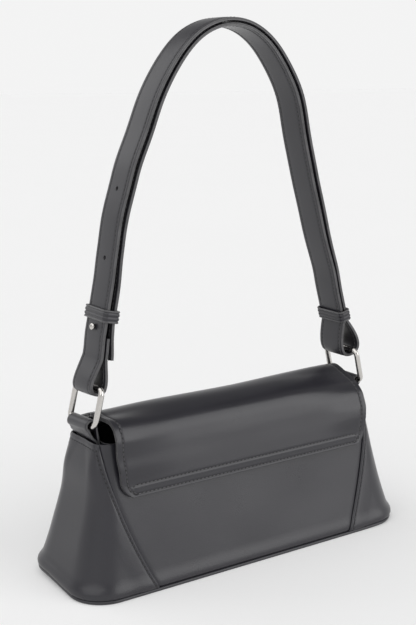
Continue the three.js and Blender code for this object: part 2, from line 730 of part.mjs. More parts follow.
// The band's outline: its middle line set off by half its thickness to either side
function bandOutline(line, thick) {
  const near = [];
  const far = [];
  line.forEach((p, i) => {
    const after = line[Math.min(i + 1, line.length - 1)];
    const along = after.clone().sub(line[Math.max(i - 1, 0)]).normalize();
    near.push(new THREE.Vector2(p.x - along.y * thick / 2, p.y + along.x * thick / 2));
    far.push(new THREE.Vector2(p.x + along.y * thick / 2, p.y - along.x * thick / 2));
  });
  return near.concat(far.reverse());
}
const across = (p) => new THREE.Vector3(p.x, 0, p.y);
const studCentre = (up, out) => across(legPoint(LEFT_LEG, up, out));
const studDirection = new THREE.Vector3().subVectors(studCentre(0, 1), studCentre(0, 0));
const tailHole = holeCutter(studCentre(STUD_UP, -HOLE_REACH), studDirection, HOLE_RADIUS, HOLE_REACH);
const strapHoles = [tailHole];
for (let k = 0; k < HOLE_COUNT; k += 1) {
  const start = studCentre(STUD_UP + k * HOLE_PITCH, 0);
  strapHoles.push(holeCutter(start, studDirection, HOLE_RADIUS, HOLE_REACH));
}
const band = acrossBag(bandOutline(run, STRAP), STRAP_HALF_WIDTH, EDGE_BEVEL);
addMesh('strap_band', drilled(band, strapHoles), leather());

// Keepers: closed leather bands round both layers
function keeper(leg, up) {
  const inThick = closedSet + STRAP / 2 + KEEPER_PLAY;
  const inWide = STRAP_HALF_WIDTH + KEEPER_PLAY;
  const outline = roundedRectangle(inThick + KEEPER_WALL, inWide + KEEPER_WALL, KEEPER_CORNER, 4);
  const wall = new THREE.Shape(outline);
  wall.holes.push(new THREE.Path(roundedRectangle(inThick, inWide, KEEPER_INNER_CORNER, 3)));
  const solid = new THREE.ExtrudeGeometry(wall, { depth: KEEPER_TALL, bevelEnabled: false });
  solid.rotateY(-leg.side * leg.lean);
  const at = legPoint(leg, up, 0);
  solid.translate(at.x, 0, at.y);
  return solid;
}
addMesh('keeper_left', keeper(LEFT_LEG, KEEPER_LEFT_UP), leather());
addMesh('keeper_right', keeper(RIGHT_LEG, KEEPER_RIGHT_UP), leather());

// Stud on the tail: domed head and neck, and the screw that holds it from inside
const outerFace = closedSet + STRAP / 2;
const studFoot = outerFace + STUD_LIFT;
const dome = [0, 30, 60, 90].map((turn) => {
  const rise = Math.sin(degToRad(turn));
  return [STUD_HEAD * Math.cos(degToRad(turn)), studFoot + STUD_RIM + STUD_DOME * rise];
});
dome[dome.length - 1][0] = 0;
const studProfile = [
  [0, -outerFace], [STUD_NECK, -outerFace], [STUD_NECK, studFoot], [STUD_HEAD - STUD_LIFT, studFoot],
  [STUD_HEAD, studFoot + STUD_LIFT], ...dome,
];
addMesh('strap_stud', turned(studProfile, studCentre(STUD_UP, 0), studDirection, 20), nickel());
const screwSeat = -outerFace - GAP;
const screwProfile = [
  [0, screwSeat - SCREW_THICK], [SCREW_HEAD - SCREW_BEVEL, screwSeat - SCREW_THICK],
  [SCREW_HEAD, screwSeat - SCREW_THICK + SCREW_BEVEL], [SCREW_HEAD, screwSeat], [0, screwSeat],
];
addMesh('stud_screw', turned(screwProfile, studCentre(STUD_UP, 0), studDirection, 20), nickel());

export default bag;
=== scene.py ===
"""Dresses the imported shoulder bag: leather, flap, doubled strap, metal, lining, stitching and a studio."""

import math
from collections import namedtuple

import bmesh
import bpy
import numpy as np
from mathutils import Matrix, Vector, noise


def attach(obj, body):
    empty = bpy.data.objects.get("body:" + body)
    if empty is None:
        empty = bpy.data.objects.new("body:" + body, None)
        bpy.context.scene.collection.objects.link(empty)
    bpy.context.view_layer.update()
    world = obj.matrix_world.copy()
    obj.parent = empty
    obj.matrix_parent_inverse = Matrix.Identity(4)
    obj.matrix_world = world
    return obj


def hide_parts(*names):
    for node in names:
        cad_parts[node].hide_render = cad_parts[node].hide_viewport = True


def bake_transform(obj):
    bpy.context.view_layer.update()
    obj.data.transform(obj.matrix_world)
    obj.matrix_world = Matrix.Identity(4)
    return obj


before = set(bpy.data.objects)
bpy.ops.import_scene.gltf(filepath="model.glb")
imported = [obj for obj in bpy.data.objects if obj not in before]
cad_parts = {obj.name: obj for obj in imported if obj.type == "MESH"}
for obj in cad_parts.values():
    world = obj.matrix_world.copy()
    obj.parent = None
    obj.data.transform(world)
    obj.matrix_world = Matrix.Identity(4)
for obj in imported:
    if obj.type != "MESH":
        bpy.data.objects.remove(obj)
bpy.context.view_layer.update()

bl_info = {
    "name": "Flap-over shoulder bag",
    "version": (1, 0, 0),
    "blender": (4, 5, 0),
    "location": "View3D > Sidebar > Shoulder bag",
    "description": "Builds a leather shoulder bag with a doubled strap round its packed frame",
    "category": "Object",
}

MM = 0.001

# Body, in millimetres as all lengths below
BASE_HALF_LENGTH = 133.6
BASE_HALF_DEPTH = 43.3
BASE_CORNER = 24.5
MOUTH_HALF_LENGTH = 110.5
MOUTH_HALF_DEPTH = 22.0
MOUTH_CORNER = 9.0
MOUTH_HEIGHT = 97.0
END_FLARE = 1.25
SIDE_FLARE = 1.1
BULGE = 1.5
BULGE_HEIGHT = 12.5
SIDE_SWELL = 0.35
LEFT_LIFT = 3.6
RIGHT_LIFT = 1.2
LIFT_DEPTH = (-36.0, 22.0)
LIFT_START = 92.0
LIFT_TOP = 30.0
END_PUFF = 1.7
END_PUFF_HEIGHT = 78.0
END_PUFF_SPAN = 12.0
FOOT_TUCK = 0.3
FOOT_CURL = 0.75
FOOT_CURL_RISE = 2.0
SEAM_FOOT = 79.0
SEAM_HEAD = 109.0
SEAM_BOW = 1.6
SEAM_UNDERLAP = 0.5
FOLD_FOOT = 0.1
FOLD_HEIGHT = 0.9
FOLD_ROLL = (-0.1, 0.9)
FOLD_FALL = 0.35
FOLD_FALL_SPAN = (9.0, 16.0)
TOP_STITCH = 4.0
TOP_ROLL = 0.6
TOP_ROLL_SPAN = (-0.2, 1.6)
GUSSET_STITCH = 2.6
PANEL = 1.9
PANEL_SLACK = 0.2
GAP = 0.3
WELT = 1.5
BASE_PLATE = 2.2
BOARD = 1.6
WELT_ROLL = 1.2
WELT_STEP = 6.0
WALL_FOOT = 2 * WELT_ROLL + 0.1
BOTTOM_EDGE = 0.7
BOTTOM_RIM_ANGLE = 1.0
TOP_ROW_SKIP = 7
SEAM_ROW_FOOT = WALL_FOOT + 2
INSIDE_BAG = (0, 0, 50)

# Lining
LINING = 0.8
LINING_SLACK = 0.1
LINING_EDGE = 0.2
LINING_INSET = PANEL + 1.7
LINING_CORNER = 2.0
LINING_FLOOR = BASE_PLATE + BOARD + 2 * GAP + 0.05
FACING = 1.1
FACING_EDGE = 0.3
FACING_STITCH = 3.0
FACING_FOOT = MOUTH_HEIGHT - 22.0
FACING_HEAD = MOUTH_HEIGHT - 1.0
TAB_ROOM = 6.6

# Flap
FLAP_LINING = 1.1
FLAP_LEATHER = 1.4
FLAP = FLAP_LINING + GAP + FLAP_LEATHER
FLAP_SEWN_HALF = 101.0
FLAP_HALF = 104.0
FLAP_FRONT_HALF = 96.0
FLAP_CORNER = 10.0
FLAP_BEND = 3
FLAP_SHOULDER = 9
ROOF = MOUTH_HEIGHT + 15.8 - FLAP
FLAP_SPLIT_Y = 6.0
FLAP_RIDGE = 6
SEWN_SHIFT = 1.6
ROOF_SHIFT = 2.0
SHIFT_FADE = 10.0
SECTION_STEPS = 1300
FLAP_STITCH = 4.0
SEWN_STITCH = 2.0
SEWN_CLOSER = FLAP_STITCH - SEWN_STITCH
BOX_ROW = 7.8
BOX_PUFF_ROW = BOX_ROW - 1.7
BOX_FADE = 5.0
BOX_MIDDLE = (BOX_ROW + SEWN_STITCH) / 2
BOX_TURN = (BOX_ROW - SEWN_STITCH) / 2
BOX_END = FLAP_SEWN_HALF - FLAP_STITCH - 3.0 - BOX_TURN
EDGE_PUFF_ROW = 0.5
LOOSE_INSET = (5.0, 18.0)
LOOSE_WAY = (16.0, 30.0)
INSIDE_EDGE = 0.8

# What stitches and folds pull into the leather: depth and half width
SEAM_VALLEY = (0.45, 1.6)
GUSSET_VALLEY = (0.32, 0.8)
TOP_VALLEY = (0.25, 0.8)
FLAP_VALLEY = (0.35, 0.75)
BOX_VALLEY = (0.32, 0.65)
BOX_PUFF = (0.16, 0.9)
EDGE_PUFF = (0.25, 0.6)
STRAP_VALLEY = (0.22, 0.6)

# Slow unevenness of leather and cloth: height and size of its waves, then where they start and are read
PANEL_WAVES = (0.45, 38.0)
GUSSET_WAVES = (0.4, 34.0)
FLAP_WAVES = (0.35, 46.0)
LINING_WAVES = (0.5, 21.0)
WAVES_FROM = 14.0
WAVES_EDGE = (5.0, 20.0)
WAVES_APART = 90.0
WAVES_LEVEL = 50.0

# Snap
SNAP_RADIUS = 7.0
SNAP_SEAT = 4.0
SNAP_STEM = 1.6
SNAP_HEIGHT = 54.0
SNAP_THICK = 1.45
SNAP_WASHER = 0.6
SNAP_WASHER_EDGE = 0.2
FLAP_STAND = 3.6

# Turned faces of the snap: radius, and height over the cap's face or the socket's seat
SNAP_CAP = [(0, 0), (1.7, 0), (2.1, 0.12), (2.4, 0.5), (5.8, 0.5), (6.5, 0.62)]
SNAP_CAP_RIM = -0.75
SNAP_CAP_TOP = FLAP_LINING - 0.1
SNAP_DISH = SNAP_THICK - 0.3
SNAP_SOCKET = [(SNAP_RADIUS, 0.5), (6.6, 0.95), (5.9, SNAP_DISH), (3.4, SNAP_DISH), (3.1, 1.0), (2.9, 0.6),
               (0, 0.6)]

# Rings and tabs
WIRE = 1.8
RING_HALF_WIDTH = 16.8
RING_WIRE = 1.95
LEFT_RISE = 3.4
LEFT_ROOM = 2.4
LEFT_SLACK = 0.6
TAB_ROOM_LEFT = 0.7
LEFT_TWIST = math.radians(3.5)
RING_CORNER = 4.5
RING_FOOT = (MOUTH_HALF_LENGTH + 0.5, MOUTH_HEIGHT + 6.8)
RING_HEAD = (RING_FOOT[0] - 5.7, RING_FOOT[1] + 23.7)
TAB_HALF_WIDTH = 12.8
TAB = 1.65
TAB_FACE = MOUTH_HALF_LENGTH - PANEL - GAP
TAB_FOOT = MOUTH_HEIGHT - 19.0
TAB_FREE = (0.5, 4.5)
TAB_TURN = (math.radians(196), math.radians(-24))
TAB_PAINT = 0.3
TAB_ROUND = 0.5
TAB_BRINK = 0.12
TAB_SOFT = 0.3
TAB_FLAT = 2.0
TAB_STEPS = 8
TAB_BACK_TOP = MOUTH_HEIGHT - 4.0
TAB_FACE_TOP = MOUTH_HEIGHT - 1.5

# The tab's two layers between the gusset and the ring: out of the layer's line and over the mouth
TAB_BACK = [(0.25, -1.0), (0.95, 2.4)]
TAB_THROAT = [(5.5, 4.1), (4.5, 2.8), (2.9, 1.7), (1.3, 0.9), (0.35, 0.1)]

# Strap
Leg = namedtuple("Leg", "side lean rise crown ease ease_out swell")
LEFT_LEG = Leg(side=-1, lean=math.radians(11.7), rise=38.0, crown=34.0, ease=9.0, ease_out=1.4, swell=8.6)
RIGHT_LEG = Leg(side=1, lean=math.radians(15.8), rise=62.0, crown=37.0, ease=6.0, ease_out=2.6, swell=14.5)
LEG_STEPS = 40
ARCH_STEPS = 36
LOOP_STEPS = 18
STRAP_HALF_WIDTH = 12.0
STRAP = 2.8
STRAP_CROWN = 0.3
STRAP_ROLL = 0.2
STRAP_ROLL_SPAN = (10.8, 12.2)
STRAP_PAINT = 11.7
STRAP_HEIGHT = 360.0
LEG_LENGTH = 138.7
CROWN_X = -1.0
TAIL_END = 22.4
TAIL_NEAR = 1.9
TAIL_FAR = 4.4
TAIL_EASE = 8.0
TAIL_JOINED = 105.0
LAYER_CLOSED = 0.4
LAYER_LEG = 1.5
LAYER_TOP = 0.5
LAYER_OPEN = 25.0
ARCH_CLOSING = 0.1
ARCH_LEVEL = 0.72
CLOSED_SET = (STRAP + LAYER_CLOSED) / 2
LOOP_RISE = 22.5
LOOP_UNDER = -(WIRE + STRAP / 2 + 0.4)
FOLD_BACK = 36.0
TACK_UP = 20.7
LEFT_SET = 0.9
LEFT_SET_SPAN = (1.0, 15.0)
TWIST_FADE = (4.0, 18.0)
CROWN_LIFT = 0.7
SWAY_SPAN = 20.0
SWAY_FADE = 22.0
KEEPER_TALL = 8.0
KEEPER_WALL = 1.5
KEEPER_PLAY = 0.4
KEEPER_TRAVEL = 14.0
KEEPER_CORNER = 2.3
KEEPER_PUFF = 0.5
KEEPER_RIM = 0.9
KEEPER_ROUND = 0.5
KEEPER_SOFT = 0.3
KEEPER_LEFT_UP = 46.0
KEEPER_RIGHT_UP = 23.2
STUD_UP = 41.4
STUD_STEM = 1.1
STUD_STAND = 0.6
HOLE_PITCH = 44.0
HOLE_COUNT = 3
HOLE_RADIUS = 1.45
HOLE_REACH = 12.0
HOLE_TURN = math.radians(4)
STRAP_STITCH = 9.0

# How finely shapes and rows are cut
WELT_ROUND = 16
WELT_CORNER_STEPS = 14
BOTTOM_CORNER_STEPS = 12
LINING_CORNER_STEPS = 8
LINING_ROWS = 26
FACING_ROWS = 8
TURNED_STEPS = 40
WIRE_ROUND = 24
RING_CORNER_STEPS = 10
TAB_TURN_STEPS = 26
FOLD_STEPS = 5
HOLE_ROUND = 24
KEEPER_CORNER_STEPS = 9
SEAM_ROW_STEPS = 60
FLAP_ROW_STEPS = 60
FLAP_SIDE_STEPS = 160
FLAP_CORNER_STEPS = 10
BOX_ROW_STEPS = 120
BOX_TURN_STEPS = 12
TACK_STEPS = 6
FLOOR_CELLS = 8
MERGE_DISTANCE = MM / 1000

# Stitches, and the dark shapes sunk at their ends that paint the shade in the needle holes: shares of the
# thread's width, and of the pitch for the length
STITCH_TALL = 0.45
STITCH_LONG = 0.36
STITCH_SLANT = 0.06
HOLE_WIDE = 1.05
GUSSET_HOLE_WIDE = 1.4
HOLE_DEEP = 0.3
HOLE_SINK = 0.15

# How far thread stands off a face
THREAD_ON_BODY = 0.1
THREAD_ON_FACING = 0.12
THREAD_ON_FLAP = 0.12
THREAD_IN_FLAP = -0.05

# Finishes: size of the grain, added roughness of the strap, darkness of the painted shade in the needle
# holes
BODY_GRAIN = 0.75
STRAP_GRAIN = 0.65
STRAP_DULLER = 0.02
HOLE_SHADE = 0.12

# Edges that stay crisp, in degrees, and the rounding of painted edges
CRISP_BOTTOM = 40
CRISP_SNAP = 35
CRISP_STRAP = 38
CRISP_STUD = 45
EDGE_SEGMENTS = 3
EDGE_ANGLE = math.radians(50)

# Keeper's outer face: distance in from its rim, then from its middle, and height over its wall
KEEPER_RIM_FACE = [(0.1, -0.2), (0.4, 0), (KEEPER_RIM, 0), (1.25, -0.45), (1.6, -0.5), (2.0, -0.05),
                   (2.5, 0.1)]
KEEPER_MIDDLE_FACE = [(0.75, 0.1), (0.45, -0.3), (0, -0.35)]

# Turned stud over its foot and the screw behind its seat: radius and height or depth
STUD_HEAD = [(STUD_STEM, -0.25), (1.5, 0), (1.95, 0.2), (2.25, 0.6), (2.3, 1.1), (2.15, 1.6), (1.75, 2.0),
             (1.2, 2.25), (0.75, 2.28), (0.62, 2.1), (0.6, 1.2), (0, 1.15)]
STUD_SCREW = [(0, 0), (2.9, 0), (2.9, 0.5), (2.5, 1.0), (1.9, 1.2), (0.55, 1.2), (0.5, 0.8), (0, 0.8)]

# How far each leg sways out of its plain arch: height and distance
LEFT_SWAY = [(200, 1.48), (235, 1.79), (262, -0.49), (290, -2.69), (348, 1.88)]
RIGHT_SWAY = [(178, 0.9), (215, -0.86), (250, -1.04), (280, -0.73), (310, 2.35), (340, 0.18)]

# Camera of the photographed view
CAMERA_PLACE = (-0.4436, -0.6249, 0.3298)
CAMERA_AZIMUTH = -34.53
CAMERA_ELEVATION = 12.09
CAMERA_LENS = 66.3
CAMERA_SENSOR = 36.0

# Soft lamps: name, strength, way the light travels, spread in degrees
LAMPS = [
    ("key_lamp", 1.0, (-0.52, 0.74, -0.42), 50),
    ("top_lamp", 1.55, (0.45, 0.25, -0.86), 80),
    ("rim_lamp", 0.45, (0.40, -0.72, -0.57), 44),
]


# Small helpers for shape
Column = namedtuple("Column", "step shared end")


def smooth(value, low, high):
    """Eases from 0 at low to 1 at high."""
    share = min(max((value - low) / (high - low), 0.0), 1.0)
    return share * share * (3 - 2 * share)


def dip(distance, at, width):
    """A rounded valley, 1 deep at a place and gone a few widths away."""
    return math.exp(-(((distance - at) / width) ** 2))


def valley(distance, at, shape):
    """A rounded valley of a depth and a half width."""
    depth, width = shape
    return depth * dip(distance, at, width)


def spaced(low, high, count):
    """Evenly spaced stops from low to high."""
    return [low + (high - low) * i / count for i in range(count + 1)]


def softness(point, waves):
    """Slow unevenness of hand-sewn leather, with waves of a height and a size."""
    height, size = waves
    return height * noise.noise(Vector(point) / size)


def round_section(radius, count):
    """Closed round section, as pairs."""
    turns = spaced(0, 2 * math.pi, count)[:-1]
    return [(radius * math.cos(turn), radius * math.sin(turn)) for turn in turns]


def edge_columns(stops, count):
    """Columns of a grid, dense at set distances from both edges and even between them."""
    half = [(stop, False) for stop in stops] + [(share, True) for share in spaced(0, 1, count)[1:]]
    return [Column(*step, 1) for step in half] + [Column(*step, -1) for step in half[-2::-1]]


def column_reach(column, half, zone):
    """Distance of a column from its edge, where a zone of set distances lies along the edge."""
    return zone + column.step * (half - zone) if column.shared else column.step


def lofted(columns, rows, place):
    """A grid of quads with a corner at each pair of stops, put where place says."""
    bm = bmesh.new()
    across = len(columns) - 1
    along = len(rows) - 1
    bmesh.ops.create_grid(bm, x_segments=across, y_segments=along, size=0.5)
    for vert in bm.verts:
        column = columns[round((vert.co.x + 0.5) * across)]
        row = rows[round((vert.co.y + 0.5) * along)]
        vert.co = Vector(place(column, row)) * MM
    return bm


def finer(path, step):
    """A closed flat path with points added along its longer sides."""
    made = []
    for start, end in zip(path, path[1:] + path[:1]):
        count = max(1, round(math.dist(start, end) / step))
        across = spaced(start[0], end[0], count)
        along = spaced(start[1], end[1], count)
        made += list(zip(across, along))[:-1]
    return made


def put_ring(bm, points, capped=False):
    """Adds a closed row of corners to a mesh, at the given points."""
    ring = bmesh.ops.create_circle(bm, segments=len(points), radius=1, cap_ends=capped)["verts"]
    for vert, point in zip(ring, points):
        vert.co = Vector(point) * MM
    return ring


def pull_edges(bm, edges):
    """Extrudes a row of edges, and gives the new corners and the new row."""
    made = bmesh.ops.extrude_edge_only(bm, edges=edges)["geom"]
    verts = {item for item in made if isinstance(item, bmesh.types.BMVert)}
    return verts, [e for e in made if isinstance(e, bmesh.types.BMEdge) and verts.issuperset(e.verts)]


def frames(points, axis, closed=False):
    """A matrix at each point of a flat path: X along the axis, Z along the path, in metres."""
    count = len(points)
    made = []
    for i, point in enumerate(points):
        after = points[(i + 1) % count] if closed else points[min(i + 1, count - 1)]
        before = points[i - 1] if closed else points[max(i - 1, 0)]
        along = (after - before).normalized()
        lift = along.cross(axis)
        turn = Matrix((axis, lift, along)).transposed().to_4x4()
        made.append(Matrix.Translation(point * MM) @ turn)
    return made


def swept(profile, stops, closed=False):
    """Extrudes a closed profile from stop to stop, and bridges or fills its ends."""
    bm = bmesh.new()
    ring = put_ring(bm, [(across, lift, 0) for across, lift in profile])
    bmesh.ops.transform(bm, matrix=stops[0], verts=ring)
    first = list(bm.edges)
    edges = first
    for before, after in zip(stops, stops[1:]):
        verts, edges = pull_edges(bm, edges)
        bmesh.ops.transform(bm, matrix=after @ before.inverted(), verts=list(verts))
    if closed:
        bmesh.ops.bridge_loops(bm, edges=first + edges)
    else:
        bmesh.ops.edgeloop_fill(bm, edges=first)
        bmesh.ops.edgeloop_fill(bm, edges=edges)
    bmesh.ops.recalc_face_normals(bm, faces=bm.faces)
    return bm


def turned(profile, start, direction):
    """Spins a profile of radius and height round an axis that starts at a point."""
    bm = bmesh.new()
    verts = [bm.verts.new((radius * MM, 0, height * MM)) for radius, height in profile]
    edges = [bm.edges.new(pair) for pair in zip(verts, verts[1:])]
    bmesh.ops.spin(bm, geom=verts + edges, cent=(0, 0, 0), axis=(0, 0, 1), dvec=(0, 0, 0),
                   angle=2 * math.pi, steps=TURNED_STEPS, use_merge=True)
    bmesh.ops.remove_doubles(bm, verts=bm.verts, dist=MERGE_DISTANCE)
    bmesh.ops.recalc_face_normals(bm, faces=bm.faces)
    turn = Vector(direction).to_track_quat("Z", "Y").to_matrix().to_4x4()
    bmesh.ops.transform(bm, matrix=Matrix.Translation(Vector(start) * MM) @ turn, verts=bm.verts)
    return bm


def face_outwards(bm, inside):
    """Turns an open sheet's faces away from a point inside it."""
    bm.normal_update()
    middle = Vector(inside) * MM
    facing = sum(f.normal.dot(f.calc_center_median() - middle) * f.calc_area() for f in bm.faces)
    if facing < 0:
        bmesh.ops.reverse_faces(bm, faces=bm.faces)


def keep_sharp(bm, degrees):
    """Marks the edges that stay crisp under smooth shading."""
    limit = math.radians(degrees)
    for edge in bm.edges:
        if len(edge.link_faces) == 2 and edge.calc_face_angle() > limit:
            edge.smooth = False


def paint_edges(bm, on_edge):
    """Gives the painted-edge material to the faces whose middle passes a test, in millimetres."""
    for face in bm.faces:
        if on_edge(face.calc_center_median() / MM):
            face.material_index = 1


def make_piece(name, bm, materials, body=None, nodes=()):
    """Makes a smooth object from a bmesh, hangs it on the empty of the body it rides on, and hides the
    imported parts it stands for.
    """
    if not bm.faces:
        raise RuntimeError(f"{name} has no faces")
    mesh = bpy.data.meshes.new(name)
    bm.to_mesh(mesh)
    bm.free()
    mesh.polygons.foreach_set("use_smooth", [True] * len(mesh.polygons))
    for material in materials:
        mesh.materials.append(material)
    obj = bpy.data.objects.new(name, mesh)
    bpy.context.scene.collection.objects.link(obj)
    if body:
        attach(obj, body)
    if nodes:
        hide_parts(*nodes)
    return obj


def thicken(obj, thick, edge):
    """Gives a sheet its thickness inwards and rounds its painted edge."""
    wall = obj.modifiers.new("Thickness", "SOLIDIFY")
    wall.thickness = thick * MM
    wall.offset = -1
    wall.use_even_offset = True
    wall.material_offset_rim = 1
    bevel = obj.modifiers.new("Rounded edge", "BEVEL")
    bevel.width = edge * MM
    bevel.segments = EDGE_SEGMENTS
    bevel.limit_method = "ANGLE"
    bevel.angle_limit = EDGE_ANGLE


# Plan of the body at a height, and places on it
def plan_at(z):
    """Half length, half depth and corner radius of the body at a height."""
    fall = 1 - min(z / MOUTH_HEIGHT, 1)
    climb = min(z / BULGE_HEIGHT, 1)
    swell = BULGE * math.sin(math.pi * climb) ** 2 - FOOT_TUCK * (1 - climb) ** 4
    length = MOUTH_HALF_LENGTH + (BASE_HALF_LENGTH - MOUTH_HALF_LENGTH) * fall ** END_FLARE + swell
    depth = MOUTH_HALF_DEPTH + (BASE_HALF_DEPTH - MOUTH_HALF_DEPTH) * fall ** SIDE_FLARE + SIDE_SWELL * swell
    corner = MOUTH_CORNER + (BASE_CORNER - MOUTH_CORNER) * fall
    return length, depth, corner


def plan_half(z):
    """Way round the plan from the middle of the back to the middle of an end."""
    length, depth, corner = plan_at(z)
    return length + depth - 2 * corner + corner * math.pi / 2


def plan_place(z, way):
    """Point and outward direction a way round the plan from the middle of the back."""
    length, depth, corner = plan_at(z)
    flat = length - corner
    arc = corner * math.pi / 2
    half = plan_half(z)
    beyond = abs(way) > half
    s = 2 * half - abs(way) if beyond else abs(way)
    if s > flat + arc:
        x, y, nx, ny = length, s - flat - arc - (depth - corner), 1.0, 0.0
    elif s > flat:
        turn = (s - flat) / corner
        nx, ny = math.sin(turn), -math.cos(turn)
        x, y = flat + corner * nx, corner * ny - (depth - corner)
    else:
        x, y, nx, ny = s, -depth, 0.0, -1.0
    sx = -1 if way < 0 else 1
    sy = -1 if beyond else 1
    return Vector((sx * x, sy * y, z)), Vector((sx * nx, sy * ny, 0))


def seam_way(z):
    """Way round the plan at which the slanted seam stands."""
    length, _, corner = plan_at(z)
    x = SEAM_FOOT + (SEAM_HEAD - SEAM_FOOT) * (1 - max(1 - z / MOUTH_HEIGHT, 0) ** SEAM_BOW)
    flat = length - corner
    if x <= flat:
        return x
    return flat + corner * math.asin(min(1, (x - flat) / corner))


def rounded_rectangle(half_wide, half_tall, corner, steps):
    """Corner-rounded rectangle, counter-clockwise, as pairs."""
    points = []
    for quarter, (sx, sy) in enumerate([(1, -1), (1, 1), (-1, 1), (-1, -1)]):
        for i in range(steps + 1):
            turn = (quarter - 1 + i / steps) * math.pi / 2
            x = sx * (half_wide - corner) + corner * math.cos(turn)
            points.append((x, sy * (half_tall - corner) + corner * math.sin(turn)))
    return points


WALL_ROWS = ([WALL_FOOT, 2.8, 3.2, 3.8, 4.6, 5.8, 7.4] + spaced(9.5, 89, 32)
             + [91, 92.4, 93.2, 94, 94.9, 95.7, 96.4, MOUTH_HEIGHT])


def wall_curl(z):
    """How far the wall turns in at the foot seam."""
    return -FOOT_CURL * (1 - smooth(z, WALL_FOOT, WALL_FOOT + FOOT_CURL_RISE)) ** 2


def settled(point):
    """The place after the soft base has curled up a little at its two ends."""
    lift = LEFT_LIFT * smooth(point.y, *LIFT_DEPTH) if point.x < 0 else RIGHT_LIFT
    lift *= smooth(abs(point.x), LIFT_START, BASE_HALF_LENGTH) * (1 - smooth(point.z, WALL_FOOT, LIFT_TOP))
    return Vector((point.x, point.y, point.z + lift))


def panel_place(share, z, side):
    """Place on the back (side 1) or front (side -1) panel."""
    seam = seam_way(z) + SEAM_UNDERLAP
    point, out = plan_place(z, share * seam)
    waves = softness((point.x, side * WAVES_APART, z), PANEL_WAVES) * smooth(z, WALL_FOOT, WAVES_FROM)
    from_seam = seam - abs(share) * seam
    point += out * (wall_curl(z) + waves - valley(from_seam, 0, SEAM_VALLEY))
    return settled(Vector((point.x, side * point.y, z)))


def gusset_relief(edge, z):
    """Height of the gusset's face over the panels: rolled fold, stitch valley and top fold."""
    fold = FOLD_FOOT + (FOLD_HEIGHT - FOLD_FOOT) * smooth(edge, *FOLD_ROLL)
    fold -= valley(edge, GUSSET_STITCH, GUSSET_VALLEY)
    fold -= FOLD_FALL * smooth(edge, *FOLD_FALL_SPAN)
    from_top = MOUTH_HEIGHT - z
    fold -= valley(from_top, TOP_STITCH, TOP_VALLEY)
    fold -= TOP_ROLL * (1 - smooth(from_top, *TOP_ROLL_SPAN))
    return fold + wall_curl(z)


def gusset_place(column, z, side):
    """Place and outward direction on a gusset; column runs from one seam to the other."""
    start = seam_way(z)
    span = 2 * (plan_half(z) - start)
    edge = column_reach(column, span / 2, EDGE_STOPS[-1])
    way = start + edge if column.end > 0 else start + span - edge
    point, out = plan_place(z, side * way)
    push = gusset_relief(edge, z) + smooth(edge, *WAVES_EDGE) * softness(point, GUSSET_WAVES)
    if side < 0:
        push += END_PUFF * dip(z, END_PUFF_HEIGHT, END_PUFF_SPAN) * out.x ** 2
    return settled(point + out * push), out


EDGE_STOPS = [0, 0.2, 0.4, 0.65, 1.0, 1.4, 1.8, 2.2, GUSSET_STITCH, 3.0, 3.4, 4.0, 5.2, 7.0]
GUSSET_COLUMNS = edge_columns(EDGE_STOPS, 18)
PANEL_EDGE = [0.955, 0.97, 0.98, 0.987, 0.994, 1]
PANEL_COLUMNS = [-k for k in PANEL_EDGE[::-1]] + spaced(-0.93, 0.93, 44) + PANEL_EDGE


# Flap section from the sewn edge on the back, over the mouth and down the front
def back_line(z, stand):
    """Point of the flap's inner face behind the bag."""
    return np.array((-plan_at(z)[1] - stand, z))


def front_line(z, stand):
    """Point of the flap's inner face before the bag."""
    return np.array((plan_at(z)[1] + stand, z))


FLAP_STOPS = [
    back_line(62, GAP), back_line(72, 0.6), back_line(84, 0.8), back_line(94, 0.7),
    np.array((-20.3, ROOF - 7.2)), np.array((-14.2, ROOF - 2.9)), np.array((-5.6, ROOF - 0.3)),
    np.array((4, ROOF - 0.5)), np.array((13, ROOF - 4)), np.array((20.6, ROOF - 8.8)),
    front_line(91, 3.0), front_line(76, FLAP_STAND), front_line(59, FLAP_STAND), front_line(42, FLAP_STAND),
]


def spline_place(stops, t):
    """Point of an even Catmull-Rom curve through the stops."""
    last = len(stops) - 1
    at = min(int(t * last), last - 1)
    w = t * last - at
    before, here = stops[max(at - 1, 0)], stops[at]
    there, after = stops[at + 1], stops[min(at + 2, last)]
    leave = (there - before) / 2
    arrive = (after - here) / 2
    cubic = (2 * here - 2 * there + leave + arrive) * w ** 3
    return cubic + (3 * there - 3 * here - 2 * leave - arrive) * w ** 2 + leave * w + here


SECTION_T = np.linspace(0, 1, SECTION_STEPS + 1)
SECTION = np.array([spline_place(FLAP_STOPS, t) for t in SECTION_T])
SECTION_S = np.concatenate(([0], np.cumsum(np.linalg.norm(np.diff(SECTION, axis=0), axis=1))))
SECTION_ALONG = np.gradient(SECTION, SECTION_S, axis=0)
SECTION_ALONG /= np.linalg.norm(SECTION_ALONG, axis=1)[:, None]
FLAP_LENGTH = SECTION_S[-1]


def stop_way(stop):
    """Way along the section to one of its stops."""
    return float(np.interp(stop / (len(FLAP_STOPS) - 1), SECTION_T, SECTION_S))


BEND_S = stop_way(FLAP_BEND)
RIDGE_S = stop_way(FLAP_RIDGE)
SHOULDER_S = stop_way(FLAP_SHOULDER)
SPLIT_S = float(SECTION_S[SECTION[:, 0] > FLAP_SPLIT_Y][0])

